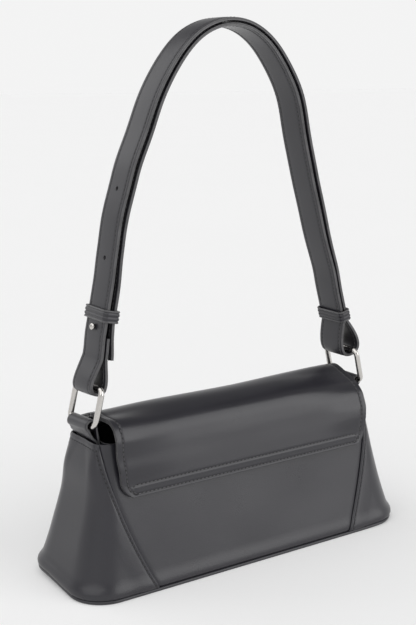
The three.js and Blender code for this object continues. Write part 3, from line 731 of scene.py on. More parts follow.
# Puffs and droops of the flap towards its ends: side, height, start along X, ways of rise and fall
Sag = namedtuple("Sag", "side height start rise fall")
FLAP_SAGS = [
    Sag(-1, 2.2, 52, (8, 20), (BEND_S - 8, BEND_S + 2)),
    Sag(-1, 4.4, 52, (BEND_S - 8, BEND_S + 4), (BEND_S + 10, RIDGE_S)),
    Sag(-1, -0.8, 52, (BEND_S + 10, RIDGE_S), (SPLIT_S, SHOULDER_S)),
    Sag(1, 1.8, 60, (8, 20), (BEND_S - 8, BEND_S + 2)),
    Sag(1, -3.7, 38, (BEND_S + 1, BEND_S + 11), (RIDGE_S - 6, SPLIT_S + 4)),
    Sag(1, 2.0, 0, (RIDGE_S + 1, SPLIT_S + 3), (SPLIT_S + 5, SHOULDER_S + 3)),
]


def flap_plain_half(s):
    """Half length of the flap a way along its section, before its corners are rounded."""
    rise = (FLAP_HALF - FLAP_SEWN_HALF) * smooth(s, 0, BEND_S)
    return FLAP_SEWN_HALF + rise - (FLAP_HALF - FLAP_FRONT_HALF) * smooth(s, SHOULDER_S, FLAP_LENGTH)


def flap_half(s):
    """Half length of the flap a way along its section."""
    inside = max(0, FLAP_CORNER - min(s, FLAP_LENGTH - s))
    return flap_plain_half(s) - FLAP_CORNER + math.sqrt(max(0, FLAP_CORNER ** 2 - inside ** 2))


def flap_inset(x, s):
    """Distance of a place on the flap from its edge."""
    side = flap_plain_half(s) - abs(x)
    end = min(s + SEWN_CLOSER, FLAP_LENGTH - s)
    if side < FLAP_CORNER and end < FLAP_CORNER:
        return FLAP_CORNER - math.hypot(FLAP_CORNER - side, FLAP_CORNER - end)
    return min(side, end)


def box_distance(x, s):
    """Distance of a place on the flap from the upper stitch row and its rounded ends."""
    beyond = abs(x) - BOX_END
    if beyond < 0:
        return abs(s - BOX_ROW)
    return abs(math.hypot(beyond, s - BOX_MIDDLE) - BOX_TURN)


def flap_sag(x, s):
    """How far the soft flap puffs out, or droops where negative."""
    total = 0
    for sag in FLAP_SAGS:
        if sag.side * x > 0:
            swell = smooth(s, *sag.rise) * (1 - smooth(s, *sag.fall))
            total += sag.height * swell * smooth(abs(x), sag.start, FLAP_HALF)
    return total


def flap_shift(s):
    """How far the flap lies to the right of the bag's middle."""
    shift = SEWN_SHIFT + (ROOF_SHIFT - SEWN_SHIFT) * smooth(s, 0, BEND_S)
    return shift * (1 - smooth(s, SPLIT_S, SHOULDER_S + SHIFT_FADE))


def flap_relief(x, s):
    """Sewn relief of the flap's face: valleys along the stitch rows, puffs between them."""
    inset = flap_inset(x, s)
    relief = -valley(inset, FLAP_STITCH, FLAP_VALLEY)
    relief -= valley(box_distance(x, s), 0, BOX_VALLEY)
    inside_box = smooth(flap_plain_half(s) - abs(x), FLAP_STITCH, FLAP_STITCH + BOX_FADE)
    relief += valley(s, BOX_PUFF_ROW, BOX_PUFF) * inside_box
    relief += valley(s, EDGE_PUFF_ROW, EDGE_PUFF)
    loose = smooth(inset, *LOOSE_INSET) * smooth(s, *LOOSE_WAY)
    return relief + loose * softness((x, s, WAVES_LEVEL), FLAP_WAVES)


def flap_place(x, s, lift):
    """Point and outward direction on the flap's section, lifted off its inner face."""
    y = np.interp(s, SECTION_S, SECTION[:, 0])
    z = np.interp(s, SECTION_S, SECTION[:, 1])
    along_y = np.interp(s, SECTION_S, SECTION_ALONG[:, 0])
    along_z = np.interp(s, SECTION_S, SECTION_ALONG[:, 1])
    out = Vector((0, -along_z, along_y)).normalized()
    return Vector((x + flap_shift(s), y, z)) + out * (lift + flap_sag(x, s)), out


SIDE_STOPS = [0, 0.8, 1.6, 2.4, 3.1, 3.6, 4.0, 4.4, 4.9, 5.8, 7.5, 10, 14, 20]
FLAP_COLUMNS = edge_columns(SIDE_STOPS, 16)
END_ROWS = [0, 0.8, 1.6, 2.4, 3.1, 3.6, 4.0, 4.4, 4.9, 5.8, 6.8, 7.8, 8.8, 9.8]
SEWN_ROWS = [0, 0.3, 0.6, 1.0, 1.4, 1.7, 2.0, 2.3, 2.6, 3.1, 3.9, 4.9, 5.6, 6.1, 6.5, 6.9, 7.2, 7.5,
             7.8, 8.1, 8.4, 8.8, 9.4, 10.2, 11.5, 13, 15, 17.5, 20, 22.5]
BACK_ROWS = SEWN_ROWS + spaced(25, SPLIT_S, 26)
FRONT_ROWS = spaced(SPLIT_S, FLAP_LENGTH - 11.5, 32) + [FLAP_LENGTH - d for d in END_ROWS[::-1]]


def flap_x(column, s):
    """Place across the flap of a column of its grid."""
    half = flap_half(s)
    return column.end * (half - column_reach(column, half, SIDE_STOPS[-1]))


def flap_sheet(rows, lift, sewn):
    """One layer of the flap between two ways along its section."""
    def place(column, s):
        x = flap_x(column, s)
        relief = flap_relief(x, s) if sewn else 0
        return flap_place(x, s, lift + relief)[0]
    bm = lofted(FLAP_COLUMNS, rows, place)
    face_outwards(bm, INSIDE_BAG)
    return bm


# Strap: places on its legs, and the run of its middle line
def leg_place(leg, up, out):
    """Point at a distance up a leg's middle line and out from it."""
    x = RING_HEAD[0] - up * math.sin(leg.lean) + out * math.cos(leg.lean)
    z = RING_HEAD[1] + up * math.cos(leg.lean) + out * math.sin(leg.lean)
    return Vector((leg.side * x, 0, z))


def leg_out(leg):
    """Direction across a leg, away from the middle of the strap."""
    return leg_place(leg, 0, 1) - leg_place(leg, 0, 0)


def bezier(points, t):
    """Point and direction of a cubic Bezier curve."""
    a, b, c, d = points
    w = 1 - t
    point = a * w ** 3 + b * (3 * w * w * t) + c * (3 * w * t * t) + d * t ** 3
    along = (b - a) * (w * w) + (c - b) * (2 * w * t) + (d - c) * (t * t)
    return point, along.normalized()


def sway(leg, z):
    """How far out a leg sways at a height."""
    sways = LEFT_SWAY if leg is LEFT_LEG else RIGHT_SWAY
    return sum(out * dip(z, at, SWAY_SPAN) for at, out in sways)


def tail_stand(up):
    """How far the tail stands off the outer layer, more towards its end."""
    return TAIL_NEAR + (TAIL_FAR - TAIL_NEAR) * max(0, KEEPER_LEFT_UP - up) / (KEEPER_LEFT_UP - TAIL_END)


def left_set(up):
    """How far out the left leg lies above its loop."""
    return LEFT_SET * smooth(up - LOOP_RISE, *LEFT_SET_SPAN)


def layer_line(leg, start, side, closed_until):
    """One layer's middle line from the foot of a leg to the crown."""
    points = []
    inner_left = side < 0 and leg is LEFT_LEG
    for up in spaced(start, LEG_LENGTH, LEG_STEPS):
        gap = LAYER_CLOSED + (LAYER_LEG - LAYER_CLOSED) * smooth(up, closed_until, LEG_LENGTH - LAYER_OPEN)
        free = smooth(up, closed_until, closed_until + SWAY_FADE)
        out = side * (STRAP + gap) / 2 + sway(leg, leg_place(leg, up, 0).z) * free
        if leg is LEFT_LEG:
            out += left_set(up) * (1 - free)
        if inner_left:
            out -= tail_stand(up) * (1 - smooth(up, closed_until - TAIL_EASE, TAIL_JOINED))
        points.append(leg_place(leg, up, out))
    crown = STRAP_HEIGHT - STRAP - LAYER_TOP / 2
    arch = (leg_place(leg, LEG_LENGTH, 0), leg_place(leg, LEG_LENGTH + leg.rise, 0),
            Vector((CROWN_X + leg.side * leg.crown, 0, crown)), Vector((CROWN_X, 0, crown)))
    for t in spaced(0, 1, ARCH_STEPS)[1:]:
        point, along = bezier(arch, t)
        gap = LAYER_LEG + (LAYER_TOP - LAYER_LEG) * smooth(t, ARCH_CLOSING, 1)
        level = smooth(t, ARCH_LEVEL, 1)
        loose = sway(leg, point.z) * (1 - level) + CROWN_LIFT * level
        set_off = leg.side * (side * (STRAP + gap) / 2 + loose)
        points.append(point + Vector((along.z, 0, -along.x)) * set_off)
    return points


def loop_line(leg, side):
    """Half of the open loop round a ring's upper bar, from the leg to under the bar."""
    left = leg is LEFT_LEG
    under = LOOP_UNDER + (LEFT_RISE - LEFT_SLACK if left else 0)
    swell = leg.swell + (LEFT_ROOM if left and side > 0 else 0)
    shape = (Vector((side * CLOSED_SET, LOOP_RISE, 0)),
             Vector((side * (CLOSED_SET + leg.ease_out), LOOP_RISE - leg.ease, 0)),
             Vector((side * swell, under, 0)), Vector((0, under, 0)))
    places = [bezier(shape, t)[0] for t in spaced(0, 1, LOOP_STEPS)]
    return [leg_place(leg, p.y, p.x) for p in places]


def twisted(point, share):
    """The place after leather on the left ring has followed a share of the ring's small turn."""
    return Vector((point.x, point.y, point.z - share * point.y * math.tan(LEFT_TWIST)))


def tab_free(z):
    """How much of the left ring's rise and turn its tab follows at a height: none down in the bag."""
    return smooth(z - MOUTH_HEIGHT, *TAB_FREE)


def loop_share(point):
    """How much of the left ring's turn the strap follows: all of it in the loop, none above."""
    over_bar = point.z - RING_HEAD[1] - LEFT_RISE
    return 1 - smooth(over_bar, *TWIST_FADE) if point.x < 0 else 0


def strap_run():
    """The band's whole middle line: tail, inner layer, right loop, outer layer, left loop, sewn end."""
    left_closed = KEEPER_LEFT_UP + KEEPER_TALL + KEEPER_TRAVEL
    right_closed = KEEPER_RIGHT_UP + KEEPER_TALL + KEEPER_TRAVEL
    fold = loop_line(LEFT_LEG, -1)[::-1][1:]
    for up in spaced(LOOP_RISE, FOLD_BACK, FOLD_STEPS)[1:]:
        fold.append(leg_place(LEFT_LEG, up, left_set(up) - CLOSED_SET))
    return (layer_line(LEFT_LEG, TAIL_END, -1, left_closed)
            + layer_line(RIGHT_LEG, LOOP_RISE, -1, right_closed)[::-1][1:]
            + loop_line(RIGHT_LEG, -1)[1:] + loop_line(RIGHT_LEG, 1)[::-1][1:]
            + layer_line(RIGHT_LEG, LOOP_RISE, 1, right_closed)[1:]
            + layer_line(LEFT_LEG, LOOP_RISE, 1, left_closed)[::-1][1:]
            + loop_line(LEFT_LEG, 1)[1:] + fold)


def strap_face(across):
    """Height of the strap's face over its middle line: two plies drawn in along the stitch rows."""
    y = abs(across)
    crown = STRAP / 2 - STRAP_CROWN * (y / STRAP_HALF_WIDTH) ** 2
    return crown - valley(y, STRAP_STITCH, STRAP_VALLEY) - STRAP_ROLL * smooth(y, *STRAP_ROLL_SPAN)


FACE_STOPS = [11.6, 11.0, 10.3, 9.7, 9.35, 9.0, 8.65, 8.2, 7.4, 5.5, 2.8]
STRAP_ACROSS = FACE_STOPS + [0] + [-y for y in FACE_STOPS[::-1]]
STRAP_EDGE = [(11.92, 0.85), (12.0, 0.45), (11.8, 0.0), (12.0, -0.45), (11.92, -0.85)]


def strap_profile():
    """Closed section of the strap: two sewn plies with painted edges."""
    top = [(y, strap_face(y)) for y in STRAP_ACROSS]
    left = [(-y, lift) for y, lift in STRAP_EDGE]
    bottom = [(-y, -lift) for y, lift in top]
    right = [(y, -lift) for y, lift in STRAP_EDGE]
    return top + left + bottom + right


# Stitching
def sew(places, pitch, width, hole_wide=HOLE_WIDE):
    """Where stitches and the dark shapes of painted shade in their needle holes lie along a row of points
    with their outward directions.
    """
    pitch /= MM
    width /= MM
    points = np.array([p for p, _ in places])
    outs = np.array([o for _, o in places])
    ways = np.concatenate(([0], np.cumsum(np.linalg.norm(np.diff(points, axis=0), axis=1))))
    count = max(1, round(ways[-1] / pitch))
    step = ways[-1] / count

    def at(way, values):
        return Vector([np.interp(way, ways, values[:, k]) for k in range(3)])

    spots = []
    hole = Matrix.Diagonal((width * hole_wide * MM, width * HOLE_DEEP * MM, width * hole_wide * MM, 1))
    size = Matrix.Diagonal((width / 2 * MM, width * STITCH_TALL * MM, step * STITCH_LONG * MM, 1))
    for i in range(count):
        start, end = at(i * step, points), at((i + 1) * step, points)
        along = (end - start).normalized()
        out = at((i + 0.5) * step, outs)
        side = out.cross(along).normalized()
        out = along.cross(side)
        slant = (along + side * STITCH_SLANT).normalized()
        turn = Matrix((side, out, slant)).transposed().to_4x4()
        spots.append((Matrix.Translation((start + end) / 2 * MM) @ turn @ size, 0))
        # A flattened dark shape sunk at each stitch's end: painted shade in the needle hole
        spots.append((Matrix.Translation((start - out * width * HOLE_SINK) * MM) @ turn @ hole, 1))
    return spots


def thread_mesh(spots):
    """One small stitch shape, doubled until there is one for each spot, then put in place."""
    bm = bmesh.new()
    bmesh.ops.create_uvsphere(bm, u_segments=6, v_segments=5, radius=1)
    shape = [vert.co.copy() for vert in bm.verts]
    number = bm.verts.layers.int.new("stitch")
    corner = bm.verts.layers.int.new("corner")
    for i, vert in enumerate(bm.verts):
        vert[corner] = i
    have = 1
    while have < len(spots):
        take = min(have, len(spots) - have)
        faces = [face for face in bm.faces if face.verts[0][number] < take]
        for item in bmesh.ops.duplicate(bm, geom=faces)["geom"]:
            if isinstance(item, bmesh.types.BMVert):
                item[number] += have
        have += take
    for face in bm.faces:
        face.material_index = spots[face.verts[0][number]][1]
    for vert in bm.verts:
        vert.co = spots[vert[number]][0] @ shape[vert[corner]]
    return bm


def flap_rows():
    """The flap's stitch rows as places across and along it: one all round, one across the sewn edge."""
    corner = FLAP_CORNER - FLAP_STITCH
    turns = spaced(0, math.pi / 2, FLAP_CORNER_STEPS)[1:]
    reach = flap_plain_half(0) - FLAP_CORNER
    foot = flap_plain_half(FLAP_LENGTH) - FLAP_CORNER
    turn_s = FLAP_CORNER - SEWN_CLOSER
    foot_s = FLAP_LENGTH - FLAP_CORNER
    loop = [(x, SEWN_STITCH) for x in spaced(0, reach, FLAP_ROW_STEPS)]
    loop += [(reach + corner * math.sin(turn), turn_s - corner * math.cos(turn)) for turn in turns]
    loop += [(flap_plain_half(s) - FLAP_STITCH, s) for s in spaced(turn_s, foot_s, FLAP_SIDE_STEPS)]
    loop += [(foot + corner * math.cos(turn), foot_s + corner * math.sin(turn)) for turn in turns]
    loop += [(x, FLAP_LENGTH - FLAP_STITCH) for x in spaced(foot, 0, FLAP_ROW_STEPS)[1:]]
    across = [(x, BOX_ROW) for x in spaced(-BOX_END, BOX_END, BOX_ROW_STEPS)]
    for turn in spaced(0, math.pi, BOX_TURN_STEPS)[1:-1]:
        place = (BOX_END + BOX_TURN * math.sin(turn), BOX_MIDDLE + BOX_TURN * math.cos(turn))
        across.append(place)
        across.insert(0, (-place[0], place[1]))
    mirrored = [(-x, s) for x, s in loop]
    return [loop, mirrored, across]


# Materials
class Shade:
    """A socket in a material; sums and products on it add Math nodes."""

    def __init__(self, tree, socket=None):
        self.tree = tree
        self.socket = socket

    def node(self, kind, settings, inputs, output=0):
        """Adds a node with its settings, then its values and links, and returns one output."""
        made = self.tree.nodes.new(kind)
        for name, value in settings.items():
            setattr(made, name, value)
        for key, value in inputs.items():
            if isinstance(value, Shade):
                self.tree.links.new(value.socket, made.inputs[key])
            else:
                made.inputs[key].default_value = value
        return Shade(self.tree, made.outputs[output] if made.outputs else None)

    def math(self, operation, first, second=0.0):
        """Adds a Math node."""
        return self.node("ShaderNodeMath", {"operation": operation}, {0: first, 1: second})

    def noise(self, scale, detail):
        """Adds noise at this place."""
        return self.node("ShaderNodeTexNoise", {}, {"Vector": self, "Scale": scale, "Detail": detail})

    def bump(self, strength, distance):
        """Adds a bump of this height, with its distance in millimetres."""
        inputs = {"Strength": strength, "Distance": distance * MM, "Height": self}
        return self.node("ShaderNodeBump", {}, inputs)

    def shades(self, colour, dark, light):
        """Adds a mix of a colour's darker and lighter shades, by this value."""
        colours = {0: self, 6: lighter(colour, dark), 7: lighter(colour, light)}
        return self.node("ShaderNodeMix", {"data_type": "RGBA"}, colours, 2)

    def __add__(self, other):
        return self.math("ADD", self, other)

    __radd__ = __add__

    def __sub__(self, other):
        return self.math("SUBTRACT", self, other)

    def __rsub__(self, other):
        return self.math("SUBTRACT", other, self)

    def __mul__(self, other):
        return self.math("MULTIPLY", self, other)

    __rmul__ = __mul__

    def __pow__(self, other):
        return self.math("POWER", self, other)


def new_material(name):
    """An empty node material, and the place on a piece as the start of its nodes."""
    material = bpy.data.materials.new(name)
    material.use_nodes = True
    material.node_tree.nodes.clear()
    return material, Shade(material.node_tree).node("ShaderNodeTexCoord", {}, {}, "Object")


def closed_material(material, inputs):
    """Ends a material in one Principled shader."""
    start = Shade(material.node_tree)
    surface = start.node("ShaderNodeBsdfPrincipled", {}, inputs)
    start.node("ShaderNodeOutputMaterial", {}, {"Surface": surface})
    return material


def lighter(colour, factor):
    """A colour made lighter or darker."""
    return tuple(min(1, c * factor) for c in colour[:3]) + (1,)


def leather_finish(name, colour, gloss, grain):
    """Smooth coated leather: fine pebble grain, slow tone changes, satin gloss that varies."""
    material, place = new_material(name)
    cells = place.node("ShaderNodeTexVoronoi", {"feature": "SMOOTH_F1"},
                       {"Vector": place, "Scale": 1 / (grain * MM), "Smoothness": 0.6}, "Distance")
    fine = place.noise(scale=2.2 / (grain * MM), detail=3.0)
    broad = place.noise(scale=26.0, detail=3.0)
    wrinkle = place.noise(scale=150.0, detail=4.0)
    height = cells * 0.55 + fine * 0.45 + wrinkle * 0.5
    tone = broad * 0.7 + cells * 0.35 + fine * 0.15
    return closed_material(material, {
        "Base Color": tone.shades(colour, dark=0.8, light=1.22),
        "Roughness": gloss + 0.1 * broad - 0.07 * fine,
        "IOR": 1.53,
        "Normal": height.bump(strength=0.22, distance=0.25),
    })


def edge_finish(name, colour):
    """Painted leather edge: glossier, with a slight ripple; lighter than the leather, partly the edge
    paint's own colour and partly painted highlight where the rounded edges catch light.
    """
    material, place = new_material(name)
    ripple = place.noise(scale=700.0, detail=2.0)
    worn = place.noise(scale=90.0, detail=4.0)
    return closed_material(material, {
        "Base Color": (worn * worn).shades(colour, dark=0.7, light=2.0),
        "Roughness": 0.2 + 0.16 * worn,
        "Normal": ripple.bump(strength=0.3, distance=0.15),
    })


def thread_finish(name, colour):
    """Twisted polyester thread."""
    material, place = new_material(name)
    twist = place.node("ShaderNodeTexWave", {"bands_direction": "DIAGONAL"},
                       {"Vector": place, "Scale": 900.0, "Distortion": 1.5})
    return closed_material(material, {
        "Base Color": twist.shades(colour, dark=0.75, light=1.25),
        "Roughness": 0.55 + 0.15 * twist,
        "Normal": twist.bump(strength=0.5, distance=0.1),
    })


def nickel_finish(name, colour):
    """Polished nickel plate with faint rubbing and clouding."""
    material, place = new_material(name)
    cloud = place.noise(scale=120.0, detail=4.0)
    rub = place.noise(scale=1500.0, detail=2.0)
    return closed_material(material, {
        "Base Color": cloud.shades(colour, dark=0.88, light=1.06),
        "Metallic": 1.0,
        "Roughness": 0.1 + 0.12 * cloud,
        "Normal": rub.bump(strength=0.06, distance=0.05),
    })


def lining_finish(name, colour):
    """Fine twill cloth."""
    material, place = new_material(name)
    pitch = 2 * math.pi / (0.9 * MM)
    dot = {"operation": "DOT_PRODUCT"}
    rise = place.node("ShaderNodeVectorMath", dot, {0: place, 1: (1, 1, 1)}, "Value")
    cross = place.node("ShaderNodeVectorMath", dot, {0: place, 1: (1, -1, -0.6)}, "Value")
    rib = place.math("SINE", rise * pitch) * 0.5 + 0.5
    weft = place.math("SINE", cross * (2 * pitch)) * 0.5 + 0.5
    slub = place.noise(scale=300.0, detail=2.0)
    weave = rib * 0.7 + weft * 0.3
    return closed_material(material, {
        "Base Color": (weave * 0.6 + slub * 0.4).shades(colour, dark=0.7, light=1.35),
        "Roughness": 0.7 + 0.15 * slub,
        "Normal": weave.bump(strength=0.4, distance=0.15),
        "Sheen Weight": 0.15,
    })


def board_finish(name, colour):
    """Grey-brown stiffening board with flecks of fibre."""
    material, place = new_material(name)
    fleck = place.noise(scale=420.0, detail=5.0)
    return closed_material(material, {
        "Base Color": fleck.shades(colour, dark=0.7, light=1.25),
        "Roughness": 0.85 + 0.1 * fleck,
        "Normal": fleck.bump(strength=0.3, distance=0.2),
    })


def stage_finish(name, colour):
    """Plain pale studio paper."""
    material, place = new_material(name)
    tooth = place.noise(scale=3.0, detail=2.0)
    return closed_material(material, {
        "Base Color": tooth.shades(colour, dark=0.775, light=0.785),
        "Roughness": 1.0,
        "Specular IOR Level": 0.0,
        "Emission Color": lighter(colour, 0.22),
        "Emission Strength": 1.0,
    })


def finish_of(kind):
    """The bag's material of a kind, made at its first use."""
    colours = bpy.context.scene.bag_finishes
    name = "bag_" + kind
    if name in bpy.data.materials:
        return bpy.data.materials[name]
    leather = tuple(colours.leather)
    makers = {
        "leather": lambda: leather_finish(name, leather, colours.gloss, BODY_GRAIN),
        "strap_leather": lambda: leather_finish(name, leather, colours.gloss + STRAP_DULLER, STRAP_GRAIN),
        "edge": lambda: edge_finish(name, tuple(colours.edge)),
        "thread": lambda: thread_finish(name, tuple(colours.thread)),
        # The needle holes' material: the thread's colour darkened, painting the shade inside the holes
        "painted_hole_shade": lambda: thread_finish(name, lighter(tuple(colours.thread), HOLE_SHADE)),
        "nickel": lambda: nickel_finish(name, tuple(colours.nickel)),
        "lining": lambda: lining_finish(name, tuple(colours.lining)),
        "board": lambda: board_finish(name, tuple(colours.board)),
        "stage": lambda: stage_finish(name, tuple(colours.stage)),
    }
    return makers[kind]()


def finishes(*kinds):
    """The bag's materials of several kinds, in order."""
    return [finish_of(kind) for kind in kinds]


def make_thread(name, spots, body=None, kind="thread"):
    """Makes one piece of all the stitches and the painted shade of their needle holes at the spots."""
    return make_piece(name, thread_mesh(spots), finishes(kind, "painted_hole_shade"), body)


# Settings that a user would change
class BagSizes(bpy.types.PropertyGroup):
    """Sizes of the sewing and of the soft edges."""

    stitch_pitch: bpy.props.FloatProperty(
        name="Stitch pitch", description="Length of one stitch of the body and flap",
        default=3.0 * MM, min=MM, subtype="DISTANCE", unit="LENGTH")
    strap_pitch: bpy.props.FloatProperty(
        name="Strap stitch pitch", description="Length of one stitch of the strap",
        default=2.9 * MM, min=MM, subtype="DISTANCE", unit="LENGTH")
    thread_width: bpy.props.FloatProperty(
        name="Thread width", description="Width of the sewing thread",
        default=0.65 * MM, min=0.1 * MM, subtype="DISTANCE", unit="LENGTH")
    edge_round: bpy.props.FloatProperty(
        name="Edge rounding", description="Radius of the leather's painted edges",
        default=0.45 * MM, min=0.1 * MM, subtype="DISTANCE", unit="LENGTH")
    floor_reach: bpy.props.FloatProperty(
        name="Floor reach", description="Half width of the studio floor",
        default=12.0, min=1.0, subtype="DISTANCE", unit="LENGTH")


class BagFinishes(bpy.types.PropertyGroup):
    """Colours and gloss of the bag's materials, and the light on it."""

    leather: bpy.props.FloatVectorProperty(
        name="Leather", description="Colour of the smooth black leather",
        default=(0.0172, 0.0166, 0.0212, 1), size=4, min=0, max=1, subtype="COLOR")
    # Edge colour: partly the edge paint's own colour, partly painted highlight that lightens the rounded
    # edges
    edge: bpy.props.FloatVectorProperty(
        name="Edge paint", description="Colour of the painted leather edges",
        default=(0.07, 0.069, 0.072, 1), size=4, min=0, max=1, subtype="COLOR")
    thread: bpy.props.FloatVectorProperty(
        name="Thread", description="Colour of the sewing thread",
        default=(0.075, 0.074, 0.078, 1), size=4, min=0, max=1, subtype="COLOR")
    nickel: bpy.props.FloatVectorProperty(
        name="Nickel", description="Colour of the plated metal",
        default=(0.62, 0.60, 0.575, 1), size=4, min=0, max=1, subtype="COLOR")
    lining: bpy.props.FloatVectorProperty(
        name="Lining", description="Colour of the lining cloth",
        default=(0.026, 0.026, 0.028, 1), size=4, min=0, max=1, subtype="COLOR")
    board: bpy.props.FloatVectorProperty(
        name="Board", description="Colour of the stiffening board in the base",
        default=(0.15, 0.12, 0.09, 1), size=4, min=0, max=1, subtype="COLOR")
    stage: bpy.props.FloatVectorProperty(
        name="Studio", description="Colour of the floor and the background",
        default=(0.9, 0.9, 0.9, 1), size=4, min=0, max=1, subtype="COLOR")
    gloss: bpy.props.FloatProperty(
        name="Leather roughness", description="Roughness of the leather at its glossiest",
        default=0.28, min=0, max=1, subtype="FACTOR")
    sky: bpy.props.FloatProperty(
        name="Sky level", description="Strength of the even light from above",
        default=0.25, min=0)
    horizon: bpy.props.FloatProperty(
        name="Horizon level", description="Strength of the light from the studio's pale walls",
        default=0.82, min=0)
    lamps: bpy.props.FloatProperty(
        name="Lamp level", description="Strength of the soft lamps together",
        default=1.06, min=0)


# Operators, one for each piece or group of like pieces
class BAG_OT_walls(bpy.types.Operator):
    """Back and front panels and the two wrap-round gussets"""

    bl_idname = "shoulder_bag.walls"
    bl_label = "Body walls"

    def execute(self, context):
        edge = context.scene.bag_sizes.edge_round / MM
        materials = finishes("leather", "leather")
        for name, node, side in [("back_wall", "back_panel", 1), ("front_wall", "front_panel", -1)]:
            bm = lofted(PANEL_COLUMNS, WALL_ROWS, lambda share, z, side=side: panel_place(share, z, side))
            face_outwards(bm, INSIDE_BAG)
            thicken(make_piece(name, bm, materials, "bag", [node]), PANEL - PANEL_SLACK, edge)
        for name, side in [("left", -1), ("right", 1)]:
            bm = lofted(GUSSET_COLUMNS, WALL_ROWS, lambda c, z, side=side: gusset_place(c, z, side)[0])
            face_outwards(bm, INSIDE_BAG)
            node = "gusset_" + name
            thicken(make_piece("wrapped_" + node, bm, materials, "bag", [node]), PANEL, edge)
        return {"FINISHED"}


class BAG_OT_base(bpy.types.Operator):
    """Bottom leather, rolled welt round it and the board inside"""

    bl_idname = "shoulder_bag.base"
    bl_label = "Base"

    def execute(self, context):
        length, depth, corner = plan_at(0)
        path = rounded_rectangle(length - WELT_ROLL, depth - WELT_ROLL, corner - WELT_ROLL,
                                 WELT_CORNER_STEPS)
        points = [settled(Vector((x, y, WELT_ROLL))) for x, y in finer(path, WELT_STEP)]
        bm = swept(round_section(WELT_ROLL, WELT_ROUND), frames(points, Vector((0, 0, 1)), True), True)
        make_piece("rolled_welt", bm, finishes("leather"), "bag", ["base_welt"])
        inset = 2 * WELT + GAP
        outline = rounded_rectangle(length - inset, depth - inset, corner - inset, BOTTOM_CORNER_STEPS)
        bm = bmesh.new()
        put_ring(bm, [(x, y, 0) for x, y in outline], capped=True)
        top = bmesh.ops.extrude_face_region(bm, geom=list(bm.faces))["geom"]
        lifted = [v for v in top if isinstance(v, bmesh.types.BMVert)]
        bmesh.ops.translate(bm, vec=(0, 0, BASE_PLATE * MM), verts=lifted)
        bmesh.ops.recalc_face_normals(bm, faces=bm.faces)
        rims = [e for e in bm.edges if len(e.link_faces) == 2 and e.calc_face_angle() > BOTTOM_RIM_ANGLE]
        bmesh.ops.bevel(bm, geom=rims, offset=BOTTOM_EDGE * MM, segments=EDGE_SEGMENTS, profile=0.5,
                        affect="EDGES", material=-1)
        keep_sharp(bm, CRISP_BOTTOM)
        make_piece("bottom_leather", bm, finishes("leather"), "bag", ["base_panel"])
        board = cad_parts["base_board"]
        board.data.materials.clear()
        board.data.materials.append(finish_of("board"))
        return {"FINISHED"}


def lining_outline(z, shrink):
    """Outline of the lining at a height."""
    _, depth, corner = plan_at(z)
    mouth = MOUTH_HALF_LENGTH - TAB_ROOM
    floor = BASE_HALF_LENGTH - TAB_ROOM
    length = mouth + (floor - mouth) * max(0, 1 - z / FACING_FOOT)
    turn = max(corner - LINING_INSET - shrink, LINING_CORNER)
    return rounded_rectangle(length - shrink, depth - LINING_INSET - shrink, turn, LINING_CORNER_STEPS)


def lining_band(heights, floor):
    """A ring of cloth through the lining's outlines, from the top down, with a floor if asked."""
    bm = bmesh.new()
    order = list(put_ring(bm, [(x, y, heights[0]) for x, y in lining_outline(heights[0], 0)]))
    edges = list(bm.edges)
    for z in heights[1:]:
        verts, edges = pull_edges(bm, edges)
        below = []
        for vert, (x, y) in zip(order, lining_outline(z, 0)):
            under = next(e.other_vert(vert) for e in vert.link_edges if e.other_vert(vert) in verts)
            soft = abs(softness((x, y, z), LINING_WAVES))
            under.co = Vector((x - math.copysign(soft, x), y - math.copysign(soft, y), z)) * MM
            below.append(under)
        order = below
    if floor:
        bmesh.ops.edgeloop_fill(bm, edges=edges)
    return bm


class BAG_OT_lining(bpy.types.Operator):
    """Cloth lining and the leather facing round the mouth"""

    bl_idname = "shoulder_bag.lining"
    bl_label = "Lining"

    def execute(self, context):
        sizes = context.scene.bag_sizes
        bm = lining_band(spaced(FACING_FOOT, LINING_FLOOR, LINING_ROWS), True)
        face_outwards(bm, INSIDE_BAG)
        cloth = make_piece("lining_bag", bm, finishes("lining", "lining"), "bag", ["lining"])
        thicken(cloth, LINING - LINING_SLACK, LINING_EDGE)
        bm = lining_band(spaced(FACING_HEAD, FACING_FOOT + GAP, FACING_ROWS), False)
        face_outwards(bm, INSIDE_BAG)
        materials = finishes("leather", "edge")
        facing = make_piece("mouth_binding", bm, materials, "bag", ["mouth_facing"])
        thicken(facing, FACING, FACING_EDGE)
        height = FACING_FOOT + FACING_STITCH
        row = [Vector((x, y, height)) for x, y in lining_outline(height, FACING + THREAD_ON_FACING)]
        places = [(p, Vector((-p.x, -p.y, 0)).normalized()) for p in row + row[:1]]
        make_thread("facing_thread", sew(places, sizes.stitch_pitch, sizes.thread_width), "bag")
        return {"FINISHED"}


